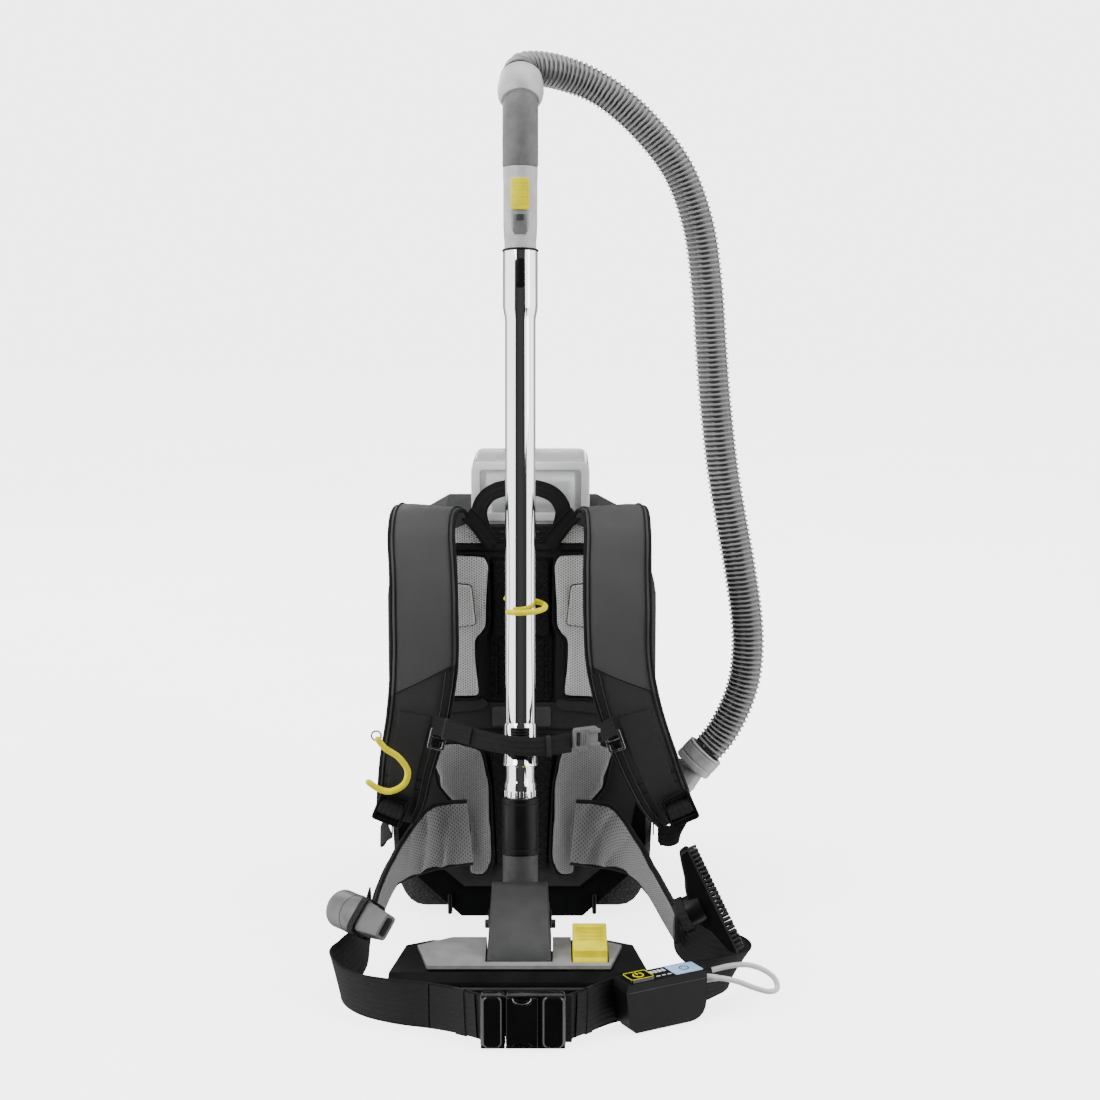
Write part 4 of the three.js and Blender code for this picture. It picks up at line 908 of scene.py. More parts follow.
def make_nozzle():
    keep("nozzle_body", "black", 1.6)
    keep("nozzle_top_plate", "plate_grey", 0.9)
    low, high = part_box("nozzle_body")
    half, front = high.x / MM, low.y / MM

    # A soft bumper round the nozzle's front edge and the two caps at its shoulders.
    edge = [(-half + 3, front + 40), (-half + 0.4, front + 12), (-half + 4, front + 1.6),
            (-half + 14, front + 0.8)]
    edge += [(x, front + 0.8) for x in range(-120, 121, 40)]
    edge += [(-x, y) for x, y in reversed(edge[:4])]
    piece("nozzle_bumper", smooth_bar([(x, y, 24.0) for x, y in edge], 1.7, 90), "rubber", "nozzle")

    outline = [
        (HOOD["front"], 26.5), (HOOD["front"], 48), (-291, HOOD["top"]), (-285, HOOD["top"]), (-268, 78),
        (-250, 66), (-248, 40), (-262, 26.5),
    ]
    hood = []
    for x in (-HOOD["half"] + 0.9, HOOD["half"] - HOOD["cheek"] - 0.9):
        cheek = slab([outline], HOOD["cheek"], 1.5, place=side_at(x))
        hood.append(cheek)
    ramp = slab([[
        (HOOD["front"] - 0.4, 26.6), (HOOD["front"] - 0.4, 46.6), (-384, 50.6), (-370, 60.2), (-330, 82.4),
        (-296, 101.2), (-290, 103.0), (-284, 102.4), (-277, 93), (-285, 95), (-291, 94), (-330, 73),
        (-368, 51),
        (-381, 43), (-381, 26.6),
    ]], 2 * HOOD["half"], 2.6, 4, place=side_at(-HOOD["half"]))
    shell = joined([*hood, ramp])
    for vertex in shell.vertices:
        vertex.co.x *= 1 - 0.13 * max(0.0, vertex.co.z / MM - 30) / 72
    piece("nozzle_hood_shell", shell, "grey", "nozzle", stands_for="nozzle_hood")
    discs = []
    for side in (-1, 1):
        disc = lathe([(0.01, 0), (9.6, 0), (10.6, 0.8), (10.6, 1.6), (9.4, 2.6), (6, 2.8), (5.2, 2.2),
                      (0.01, 2.2)], 48, place=frame_at((side * (HOOD["half"] * 0.942 - 0.9), -290, 62),
                                                       turned(90 * side, "Y")))
        discs.append(disc)
    piece("nozzle_pivot_discs", joined(discs), "black", "nozzle")

    pedal = slab([[
        (-387, 30.5), (-387, 45), (-385.2, 47.6), (-382.5, 49.5), (-381.3, 56.6), (-379, 58), (-329, 68.8),
        (-321, 66.5), (-318.2, 61.5), (-318.2, 43), (-345, 40.2), (-365, 31),
    ]], 38, 1.6, place=side_at(59))
    ribs = [block((63, y, 60.3 + (y + 379) * 0.216), (93, y + 1.8, 61.4 + (y + 379) * 0.216), 0.5)
            for y in range(-362, -334, 7)]
    piece("nozzle_pedal_shaped", joined([pedal, *ribs]), "yellow", "nozzle_pedal", stands_for="nozzle_pedal")

    low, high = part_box("brush_strip")
    holder = block((low.x / MM, low.y / MM, 5.4), (high.x / MM, high.y / MM, high.z / MM), 0.6)
    tufts = []
    for i in range(61):
        x = low.x / MM + 3 + i * (high.x - low.x - 6 * MM) / MM / 60
        for y in (-393, -391, -389):
            lean = random.uniform(-0.5, 0.5)
            tufts.append(wire([(x, y, 5.8), (x + lean, y + lean, 0.6)], 0.75, 6))
    piece("brush_strip_tufts", joined([holder, *tufts]), "bristle", "brush_strip", stands_for="brush_strip")
    for side, x in (("left", -50), ("right", 50)):
        wheel = lathe(pipe(
            [(12.6, -5.4), (14.2, -4.4), (14.5, -3.6), (14.5, 3.6), (14.2, 4.4), (12.6, 5.4)],
            [(11.6, -5.4), (11.0, -3.0), (6.0, -3.0), (5.4, -5.4), (2.4, -5.4), (2.4, 5.4), (5.4, 5.4),
             (6.0, 3.0), (11.0, 3.0), (11.6, 5.4)],
        ), 48)
        piece("wheel_" + side, wheel, "mid_grey", "wheel_" + side,
              place=frame_at((x, -306, 14.8), turned(90, "Y")), stands_for="nozzle_wheel_" + side)


# ---------------------------------------------------------------- shoulder straps
STRAP_FACES = [
    (0, 1, 0.5), (0, 0.5, 1), (0, -0.3, 1), (0, -1, 0.5), (0, -1, 0.2), (0, -1, 0),
    (0, -1, 0), (0, -1, 0), (0, -1, -0.1), (0, -1, -0.1), (0, -1, -0.1),
]
STRAP_Y = (-126.5, -137, -163, -190, -208, -217, -217, -212, -203, -196, -192)
STRAP_Z = (483, 501, 509, 489, 448, 402, 341, 282, 219, 174, 150)
STRAP_X = {
    "left": (-90, -98, -110, -113.6, -111, -110, -110.5, -117.4, -131.6, -139.5, -146),
    "right": (90, 98, 109, 111.5, 111, 111.5, 114, 127, 149, 168, 183),
}
STRAP_WIDE = {
    "left": [62, 72, 76, 76, 77, 78, 78, 73, 64, 57, 48],
    "right": [62, 72, 76, 76, 77, 78, 76, 72, 68, 60, 48],
}


def make_shoulder_strap(side):
    """A padded strap: a soft cover, piping down both edges, a slanted seam, and a webbing rail inside it."""
    ribbon = Ribbon(list(zip(STRAP_X[side], STRAP_Y, STRAP_Z)), STRAP_FACES, STRAP_WIDE[side], 90)
    inner = -1 if side == "left" else 1     # the side towards the wand, in half-widths
    phase = 1.3 if side == "left" else 4.1

    def soft(share, u, v):
        if v < 0.2:
            return 0.0
        fold = 0.35 * math.sin(38 * share + 2.2 * u + phase) * math.sin(9 * share + phase)
        return fold + 0.9 * (1 - u * u) * v

    # The cover is darker past the slanted seam, which runs from the inner edge down to the outer one.
    seam_in, seam_out, reach = 0.60, 0.665, 0.8
    starts, ends = ribbon.length(seam_in), ribbon.length(seam_out)
    slope = (ends - starts) / (2 * reach * blended(ribbon.wide, 0.5) / 2)
    cloth = strap_cloth("strap_cover_" + side).darker_past((1, slope * inner, 0), (starts + ends) / 2, 0.38)
    LOOK["strap_" + side] = cloth.material

    core = ribbon.strap(11.6, left=-0.95, right=0.95, lift=-0.4, boxy=3.6, sides=36, wrinkle=soft)
    padded = piece("strap_pad_" + side, core, "strap_" + side, sharp=60,
                   stands_for="shoulder_strap_" + side)

    trims = []
    for edge in (-1, 1):
        trims.append(ribbon.bar(2.6, 12, 0.0, 1.0, 0.955 * edge, 0.4, 110))
        trims.append(ribbon.bar(0.9, 8, 0.02, 1.0, 0.835 * edge, 5.0, 110))
    piece("strap_binding_" + side, joined(trims), "binding")

    # The slanted seam, and a second fold near the end.
    seams = [ribbon.bar(0.8, 8, seam_in, seam_out, reach * inner, 6.4, 16, -reach * inner)]
    for share in (0.835, 0.86):
        seams.append(ribbon.bar(0.55, 6, share, share, 0.78, 5.9, 10, -0.78))
    piece("strap_seams_" + side, joined(seams), "binding")

    # The sternum strap slides on a webbing rail by the inner edge. A narrower strip covers the lower half.
    rail = ribbon.strap(2.0, 0.61, 0.97, 0.66 if inner > 0 else -0.9, 0.9 if inner > 0 else -0.66, 7.6,
                        sides=12)
    piece("strap_rail_" + side, rail, "webbing")
    edges = [ribbon.bar(0.45, 6, 0.61, 0.97, s * inner, 8.8, 50) for s in (0.66, 0.9)]
    piece("strap_rail_edges_" + side, joined(edges), "patch")
    low, high = (-0.62, 0.42) if inner > 0 else (-0.42, 0.62)
    panel = ribbon.strap(1.6, 0.70, 0.985, low, high, 6.9, sides=16)
    piece("strap_panel_" + side, panel, "nylon")
    tab = ribbon.strap(2.2, 0.90, 0.99, low * 0.8, high * 0.8, 8.4, sides=12)
    piece("strap_end_tab_" + side, tab, "webbing")
    stitches = []
    for share in (0.905, 0.935):
        stitches += [
            ribbon.bar(0.4, 6, share, share, a, 9.7, 2, a + 0.06)
            for a in (low * 0.75 + i * (high - low) * 0.75 / 9 for i in range(9))
        ]
    piece("strap_stitches_" + side, joined(stitches), "thread")
    return ribbon


def make_strap_clips(ribbons):
    """The pale slides that hold the sternum strap's ends on the rails."""
    for side, share in (("left", 0.735), ("right", 0.735)):
        inner = -1 if side == "left" else 1
        place, across, out, half = ribbons[side].frame(share)
        way = across.cross(out)
        turn = Matrix((across, -way, out)).transposed().to_4x4()
        frame_here = Matrix.Translation(place + across * inner * half * 0.78 + out * 9.2 * MM) @ turn
        body = slab([rounded(-10, 10, -13, 13, 2.5), rounded(-6.5, 6.5, -10, -2, 1.5),
                     rounded(-6.5, 6.5, 2, 10, 1.5)],
                    2.4, 0.7)
        piece("sternum_slide_" + side, body, "steel", place=frame_here)
        bar = block((-7, -1.6, 1.8), (7, 1.6, 4.4), 1.0)
        piece("sternum_slide_bar_" + side, bar, "black", place=frame_here)


# ---------------------------------------------------------------- back pads
def soft_corner(points, reach, sign=1, steps=4):
    """Rounds an outline's corners with short arcs through each; sign -1 mirrors it to the other side."""
    done = []
    points = [Vector((sign * x, y)) for x, y in points][::sign]
    for before, here, after in zip(points[-1:] + points, points, points[1:] + points[:1]):
        r = min(reach, (before - here).length * 0.45, (after - here).length * 0.45)
        a = here + (before - here).normalized() * r
        b = here + (after - here).normalized() * r
        for k in range(steps + 1):
            t = k / steps
            done.append(tuple(a * (1 - t) ** 2 + here * 2 * t * (1 - t) + b * t ** 2))
    return done


PADS = {
    "upper_pad_": [
        (51, 276), (137, 276), (137, 420), (124, 442), (112, 453), (46, 453), (39, 444), (38, 368), (42, 358),
        (51, 349),
    ],
    "lower_pad_": [
        (42, 56), (61, 56), (67, 122), (101, 168), (110, 218), (80, 224), (47, 214), (38, 170), (34, 76),
    ],
}


def make_pads():
    low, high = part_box("upper_pad_left")
    back, front = high.y / MM, low.y / MM
    thick = back - front
    for side, sign in SIDES:
        for name, outline in PADS.items():
            shape = soft_corner(outline, 7, sign)
            inset = slab([shape], thick - 5.5, 3.5, 3, place=front_at(back - 0.2))
            pad = puffed(inset, 4.0)
            for vertex in pad.vertices:
                vertex.co.y = min(max(vertex.co.y, front * MM), back * MM)
            made = piece(name + "soft_" + side, pad, "mesh" if name == "upper_pad_" else "wing_mesh",
                         sharp=80, stands_for=name + side)
            spine = [Vector((x * MM, (front + 9.5) * MM, z * MM)) for x, z in [*shape, shape[0]]]
            piece(name + "binding_" + side, round_bar(spine, 1.9 * MM, 10), "binding")

        # The raised island of each upper pad, on a black sheet a little larger than it that paints the shade
        # of a sunk groove round it.
        island = soft_corner([(54, 369), (76, 366), (96, 366), (96, 417), (80, 418), (59, 416)], 4, sign)
        island = slab([island], 6.4, 3.0, 4, place=front_at(front + 2.5))
        groove = slab([soft_corner([(52.8, 367.8), (76, 364.8), (97.2, 364.8), (97.2, 418.4), (80, 419.2),
                                   (57.8, 417.2)], 5, sign)], 2.0, 0.8, place=front_at(front + 2.6))
        # The groove piece is a flat dark sheet: painted shade round the island.
        piece("pad_groove_shade_" + side, groove, "patch")
        piece("pad_island_" + side, island, "mesh")

        # The mesh triangle over the top band, and the black load lifter that edges it.
        yoke = slab([soft_corner([(40, 0), (84, 0), (80, 36), (62, 38)], 3, sign)], 4.0, 1.6,
                    place=frame_at((0, -121.8, 465), turned(17, "X")) @ front_at(2))
        piece("yoke_mesh_" + side, yoke, "mesh")
        lifter = Ribbon(
            [(sign * 33, -125.5, 463), (sign * 42, -129, 476), (sign * 53, -134.5, 491),
             (sign * 64, -139.5, 503)],
            [(0, -1, 0), (0, -1, 0.4)], [19, 17], 24,
        )
        piece("load_lifter_" + side, lifter.strap(2.2, sides=14), "webbing")
        piece("load_lifter_edge_" + side, joined([
            lifter.bar(1.3, 8, 0, 1, s, 0.6, 20) for s in (-0.92, 0.92)
        ]), "binding")


def make_back_panel():
    keep("back_panel", "nylon", 1.5)
    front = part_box("back_panel")[0].y / MM
    centre = slab([soft_corner([
        (-36, 272), (36, 272), (37, 345), (37, 447), (-37, 447), (-37, 345),
    ], 4)], 5.2, 2.2, place=front_at(front))
    piece("centre_quilt", centre, "quilt")
    columns = []
    for sign in (-1, 1):
        column = slab([soft_corner([(17, 352), (33, 352), (33, 444), (17, 444)], 4, sign)], 8.2, 2.6,
                      place=front_at(front - 1.0))
        columns.append(column)
        foot = slab([soft_corner([(14, 66), (30, 66), (35, 170), (40, 232), (14, 232)], 5, sign)], 9.0, 3.0,
                    place=front_at(front))
        columns.append(foot)
    piece("centre_columns", joined(columns), "quilt")
    ribs = [
        wire([(x, front - 6.4, 278), (x, front - 6.4, 346)], 0.8, 8) for x in (-30, 30)
    ]
    piece("centre_seams", joined(ribs), "binding")

    band = slab([rounded(-77, 77, 455.4, 464, 2)], 7.0, 1.6, place=front_at(front))
    piece("top_band", band, "webbing")
    lumbar = slab([soft_corner([(-100, 238), (100, 238), (106, 271), (-106, 271)], 4)], 4.6, 1.6,
                  place=front_at(front))
    piece("lumbar_band", lumbar, "nylon")
    patch = slab([rounded(-35, 35, 241.5, 266, 2.5)], 6.6, 1.4, place=front_at(front))
    piece("lumbar_patch", patch, "patch")
    wedges = []
    for sign in (-1, 1):
        wedge = slab([soft_corner([(40, 268), (46, 262), (104, 256), (106, 272), (44, 276)], 3, sign)], 8.4,
                     2.4, place=front_at(front))
        wedges.append(wedge)
    piece("pad_end_wedges", joined(wedges), "nylon")


def make_grab_handle():
    arch = Ribbon(
        [(-34, -119.5, 466), (-46, -119.5, 484), (-49, -119.5, 505), (-38, -119.5, 522), (-15, -119.5, 530.5),
         (15, -119.5, 530.5), (38, -119.5, 522), (49, -119.5, 505), (46, -119.5, 484), (34, -119.5, 466)],
        [(0, -1, 0), (0, -1, 0)], 19, 60,
    )
    sewn = [arch.strap(3.0, sides=16)]
    yoke = slab([soft_corner([(-28, 462), (28, 462), (46, 486), (-46, 486)], 3)], 3.8, 1.2,
                place=front_at(-117.6))
    sewn.append(yoke)
    piece("grab_handle_webbing", joined(sewn), "webbing", stands_for="grab_handle")
    piece("grab_handle_edges", joined([
        arch.bar(0.8, 8, 0.02, 0.98, s, 1.1, 70) for s in (-0.9, 0.9)
    ]), "binding")
    stitches = [
        wire([(x, -121.9, z), (x + 3.2, -121.9, z + dz)], 0.45, 6)
        for x in range(-24, 22, 6) for z, dz in ((470, 0), (478, 0))
    ]
    piece("grab_handle_stitches", joined(stitches), "thread")


# ---------------------------------------------------------------- webbing, locks and chest strap
def make_anchors():
    routes = {
        "left": [(-154, -207, 142), (-162, -196, 132), (-167, -165, 118), (-167, -125, 106), (-167, -85, 98)],
        "right": [(190, -206, 142), (186, -192, 132), (178, -162, 118), (170, -122, 106), (167, -85, 98)],
    }
    for (side, points), sign in zip(routes.items(), (-1, 1)):
        faces = [(sign, -0.8, 0), (sign, 0, 0), (sign, 0, 0), (sign, 0, 0)]
        ribbon = Ribbon(points, faces, 25, 40)
        piece("anchor_strap_" + side, ribbon.strap(2.0, sides=14), "webbing",
              stands_for="anchor_webbing_" + side)
        patch = block((-13, -13, 0), (13, 13, 2.2), 0.8,
                      place=Matrix.Translation(ribbon.spot(0.97, 0, 0.6)) @ turned(90 * sign, "Y"))
        piece("anchor_patch_" + side, patch, "nylon")


def make_ladder_locks():
    for side, x, turn in (("left", -151, 22), ("right", 185, -24)):
        place = frame_at((x, -209, 166), turned(turn, "Y"))
        body = slab([rounded(-18, 18, -19, 19, 4), rounded(-14, 14, -12, -4, 1), rounded(-14, 14, 3, 11, 1)],
                    6, 1.3, place=front_at(3))
        grips = [block((-13, -4.4, z), (13, -2.4, z + 1.6), 0.5) for z in (12.6, 15.2)]
        rails = [block((s * 16 - 1.8, -4.8, -17), (s * 16 + 1.8, -2.5, 17), 0.8) for s in (-1, 1)]
        piece("ladder_lock_frame_" + side, joined([body, *grips, *rails]), "black", place=place,
              stands_for="ladder_lock_" + side)
        loop = Ribbon([(0, 4.0, 16), (0, 0.4, 8.6), (0, -5.2, 2), (0, -4.6, -6), (0, -1.2, -9.4),
                       (0, 4.8, -18)],
                      [(0, -1, 0), (0, -1, 0)], 29, 24)
        piece("ladder_lock_loop_" + side, loop.strap(1.6, sides=12), "webbing", place=place)


def make_sternum_strap():
    faces = [(0, -1, 0), (0, -1, 0)]
    routes = {
        "left": [(-100, -226, 271), (-75, -238, 266), (-35, -256, 259), (0, -265, 256), (30, -265, 256),
                 (58, -258, 258)],
        "right": [(90, -243, 265), (98, -236, 267), (108, -225, 270)],
    }
    for side, points in routes.items():
        ribbon = Ribbon(points, faces, 22, 48)
        piece("sternum_webbing_" + side, ribbon.strap(2.0, sides=14), "webbing",
              stands_for="sternum_strap_" + side)
        if side == "left":
            keeper = [ribbon.strap(4.4, at, at + 0.035, -1.12, 1.12, sides=16) for at in (0.10, 0.80)]
            piece("sternum_keepers", joined(keeper), "nylon")
            fold = ribbon.strap(1.6, 0.12, 0.3, -0.94, 0.94, 1.9, sides=12)
            piece("sternum_fold", fold, "webbing")
    place = frame_at((74, -252, 262), turned(26, "Z"))
    body = slab([rounded(-15, 15, -13, 13, 3), rounded(-12.5, -8, -8, 8, 1.2)], 8, 2.0, place=front_at(4))
    prongs = [block((2, -4.9, s * 8 - 2.6), (17.5, -1.5, s * 8 + 2.6), 1.2) for s in (-1, 1)]
    ridge = [block((-6.5 + 2.6 * i, -4.7, -6.5), (-5.2 + 2.6 * i, -3.6, 6.5), 0.5) for i in range(3)]
    piece("sternum_buckle_shell", joined([body, *prongs, *ridge]), "handle_grey",
          place=place, stands_for="sternum_buckle")


# ---------------------------------------------------------------- hip wings and belt
WING = {
    "left": [(-62, -142, 116), (-98, -147, 112.5), (-128, -180, 103), (-147, -225, 95), (-160, -270, 75),
             (-165, -305, 60)],
    "right": [(62, -142, 116), (98, -147, 112.5), (130, -180, 100), (151, -225, 84), (164, -285, 76),
              (176, -335, 67)],
}
WING_HIGH = {"left": [80, 83, 60, 36, 38, 42], "right": [80, 83, 50, 38, 38, 38]}
WING_FACES = [(0, -1, 0), (0.3, -1, 0), (0.8, -0.6, 0), (1, -0.2, 0), (1, -0.1, 0), (1, 0, 0)]


def make_hip_wing(side):
    """A padded fin with soft folds where it bends, a black face outside it and piping round its edges."""
    sign = 1 if side == "left" else -1
    faces = [(sign * x, y, z) for x, y, z in WING_FACES]
    ribbon = Ribbon(WING[side], faces, WING_HIGH[side], 110)

    def folds(share, u, v):
        if v < 0.1:
            return 0.0
        bend = math.exp(-((share - 0.30) / 0.17) ** 2)
        fan = 1 - 2 * abs(math.sin(19 * share + 1.9 * u * (1 - share))) ** 0.7
        return 4.4 * bend * fan * (0.5 + 0.5 * abs(u)) * v + 0.7 * (1 - u * u)

    pad = ribbon.strap(8.0, 0.0, 1.0, -0.95, 0.95, 0.6, boxy=3.2, sides=48, wrinkle=folds)
    made = piece("wing_pad_" + side, pad, "wing_mesh", sharp=80, stands_for="hip_wing_" + side)
    backing = ribbon.strap(2.6, 0.03, 1.0, -0.97, 0.97, -3.8, sides=20)
    piece("wing_backing_" + side, backing, "nylon")
    trims = [ribbon.bar(2.9, 10, 0.0, 1.0, 0.96 * s, 0.0, 80) for s in (-1, 1)]
    trims.append(ribbon.bar(2.9, 10, 1.0, 1.0, -0.96, 0.0, 12, 0.96))
    piece("wing_binding_" + side, joined(trims), "binding")
    return ribbon


BELT_LEFT = [
    (-171, -268, 70), (-173.6, -305, 56), (-177, -338, 45), (-190, -364, 38), (-199, -392, 35),
    (-190, -419, 32),
    (-168, -440, 29.5), (-135, -455, 28.5), (-92, -468, 28.5), (-60, -484, 29), (-36, -503, 30),
]
BELT_RIGHT = [
    (177, -295, 68), (189, -325, 52), (212, -343, 43), (234, -350, 39), (243, -360, 36), (236, -376, 33),
    (212, -392, 30), (186.5, -406, 28.5), (142.6, -430, 28.5), (100, -454, 28.5), (76, -478, 29),
    (54, -502, 30),
]


def make_belt():
    left = Ribbon(BELT_LEFT, [(-1, 0, 0), (-1, -0.4, -0.4), (-1, -1, -0.3), (0, -1, 0), (0, -1, 0)], 50, 110)
    right = Ribbon(
        BELT_RIGHT,
        [(1, 0, 0), (0.5, 1, -0.3), (0.3, 1, -0.5), (1, 0.3, -0.5), (0.8, -0.8, -0.3), (0.5, -1, 0),
         (0.5, -1, 0),
         (0.5, -1, 0), (0.3, -1, 0)],
        50, 130,
    )
    for side, ribbon in (("left", left), ("right", right)):
        piece("belt_strap_" + side, ribbon.strap(2.0, sides=20, boxy=7), "webbing", sharp=60,
              stands_for="belt_webbing_" + side)
        selvedge = [ribbon.bar(1.25, 8, 0, 1, 0.975 * s, 0.0, 120) for s in (-1, 1)]
        piece("belt_selvedge_" + side, joined(selvedge), "binding")
    for side, ribbon, tail, band, thick, lift in (
        ("left", left, 0.80, (0.885, 0.925), 5.4, 1.2), ("right", right, 0.88, (0.905, 0.93), 5.2, 1.1),
    ):
        folds = [ribbon.strap(1.8, tail, 0.975, -0.97, 0.97, 2.0, sides=14),
                 ribbon.strap(thick, *band, -1.05, 1.05, lift, sides=18)]
        piece("belt_tail_" + side, joined(folds), "webbing")
    ridges = [left.strap(2.6, at, at + 0.006, -0.98, 0.98, 1.4, sides=12) for at in (0.79, 0.875)]
    piece("belt_fold_ridges", joined(ridges), "webbing")


BUCKLE = {"front": -519.0, "back": -503.0, "low": 0.3, "high": 59.7}


def buckle_half(frame_x, slot_x, bar_x, rail_x):
    """A frame with a slot for the webbing, a rounded bar over it, and a rail along its top and bottom."""
    front, back, low, high = BUCKLE.values()
    rim = slab([rounded(*frame_x, low, high, 5), rounded(*slot_x, 6, 54, 1.5)], back - front - 4, 2.6, 4,
               place=front_at(back))
    bar = slab([rounded(*bar_x, low + 0.8, high - 0.8, 7)], 10.5, 4.6, 5, place=front_at(front + 10.5))
    left, right = rail_x
    rails = [block((left, front + 1.8, z), (right, front + 6, z + 3), 1.2) for z in (low + 0.6, high - 3.6)]
    return rim, bar, rails


def make_belt_buckle():
    front, back = BUCKLE["front"], BUCKLE["back"]
    rim, bar, rails = buckle_half((-12, 50.5), (30.2, 35.8), (25.0, 49.8), (-12, 50))
    panel = slab([[
        (-11.6, 3.2), (-4.5, 3.2), (-2.5, 6.0), (13.0, 6.0), (15.0, 3.2), (21.5, 3.2), (21.5, 56.8),
        (16.5, 56.8), (13.6, 50.6), (9.0, 48.6), (1.5, 48.6), (-3.0, 50.6), (-6.0, 56.8), (-11.6, 56.8),
    ]], 3.4, 1.2, place=front_at(front + 4.6))
    piece("belt_buckle_socket", joined([rim, bar, panel, *rails]), "gloss_black",
          stands_for="belt_buckle_female")
    loops = [block((x0, back - 4.6, 4), (x1, back - 1.0, 56), 0.8) for x0, x1 in ((-27, -15), (27, 57))]
    piece("belt_buckle_webbing", joined(loops), "webbing")
    lip = wire([(5.2 + x, front + 1.0, 56.4 + z) for x, z in arc(9.6, 180, 180, 12, high=6.6)], 0.7, 8)
    piece("belt_buckle_lip", lip, "steel")
    rim, bar, rails = buckle_half((-38.5, -12.4), (-24, -18), (-37.8, -14.8), (-38, -12.6))
    tongue = block((-14, front + 5.6, 13), (20, back - 4.4, 47), 1.2)
    piece("belt_buckle_plug", joined([rim, bar, tongue, *rails]), "gloss_black", stands_for="belt_buckle_male")


# ---------------------------------------------------------------- tools and control unit on the belt
def ring_between(z, radius, wide, high, blend):
    """A ring that goes from a circle (blend 0) to a rounded rectangle (blend 1)."""
    done = []
    for a in compass(72):
        c, s = math.cos(a), math.sin(a)
        x = radius * c * (1 - blend) + math.copysign(abs(c) ** 0.32, c) * wide / 2 * blend
        y = radius * s * (1 - blend) + math.copysign(abs(s) ** 0.32, s) * high / 2 * blend
        done.append((x, y, z))
    return mm(done)


def make_crevice_tool():
    outer = [
        (-40, 20.6, 0, 0, 0), (-39.4, 21.5, 0, 0, 0), (-12, 21.5, 0, 0, 0), (-9, 21.2, 1, 1, 0),
        (-4, 20.6, 27, 37, 0.4),
        (1, 20, 26, 36, 0.85), (12, 15, 24, 35, 1), (30, 12, 19.5, 31.5, 1), (45, 10, 15.6, 28.2, 1),
        (46, 10, 14.8, 27.4, 1),
    ]
    inner = [(z, max(r - 3, 1), max(w - 6, 1), max(h - 6, 1), b) for z, r, w, h, b in outer]
    rings = [ring_between(*row) for row in outer] + [ring_between(*row) for row in reversed(inner)]
    body = skin(rings, loop_rings=True)
    piece("crevice_tool_shell", body, "tool_grey", "crevice_tool", place=CREVICE, sharp=30,
          stands_for="crevice_tool")
    ring = [v * 1.002 for v in ring_between(-12.5, 21.4, 0, 0, 0)]
    seam = joined([round_bar([*ring, ring[0]], 0.5 * MM, 6)])
    piece("crevice_tool_seam", seam, "mid_grey", "crevice_tool", place=CREVICE)
    band = skin(
        [ring_between(z, 20, w, h, 1) for z, w, h in
         ((3.2, 31.0, 41.4), (12.8, 31.0, 41.4), (12.8, 28.2, 38.6), (3.2, 28.2, 38.6))], loop_rings=True)
    piece("crevice_loop_band", band, "webbing", place=CREVICE, sharp=30, stands_for="crevice_loop")


def make_brush_tool():
    outline = soft_corner([
        (0, 65.5), (-11, 63.5), (-14, 53), (-18.5, 33), (-24, 20), (-24, -22), (-18, -29), (-11, -55),
        (-8, -62.5),
        (0, -65.5),
    ], 4)
    body = slab([outline], 17.6, 2.2, place=front_at(8.8))
    neck = lathe(pipe([(16.0, -14), (17.0, -20), (17.0, -42.6), (16.2, -44)], [(14.0, -14), (14.0, -44)]),
                 place=Matrix.Translation((0, 0, -2 * MM)) @ turned(90, "Y"))
    stump = block((-25, -8.4, -20), (-13, 8.4, 16), 2.0)
    piece("brush_tool_body", joined([body, neck, stump]), "black", "brush_tool", place=BRUSH,
          stands_for="brush_tool")
    tufts = []
    for i in range(24):
        z = -61 + i * 122 / 23
        for j, y in enumerate((-5.6, 0.0, 5.6)):
            lean = [random.uniform(-0.8, 0.8) for _ in range(2)]
            start, end = (-0.6, y, z + 1.2 * (j % 2)), (8.2, y + lean[0], z + 1.2 * (j % 2) + lean[1])
            tufts.append(round_bar(mm([start, (3.0, y, z + 1.2 * (j % 2)), end]),
                                   [1.5 * MM, 1.55 * MM, 1.9 * MM], 8))
    piece("brush_tool_tufts", joined(tufts), "bristle", "brush_tool", place=BRUSH)
    ring = lathe(pipe([(18.4, 31), (18.9, 31.8), (18.9, 40.2), (18.4, 41)], [(17.4, 31), (17.4, 41)]),
                 place=Matrix.Translation((0, 0, -2 * MM)) @ turned(-90, "Y"))
    tab = block((-41, -8, -28), (-31, 8, -20.5), 1.2)
    piece("brush_loop_band", joined([ring, tab]), "webbing", place=BRUSH, stands_for="brush_loop")


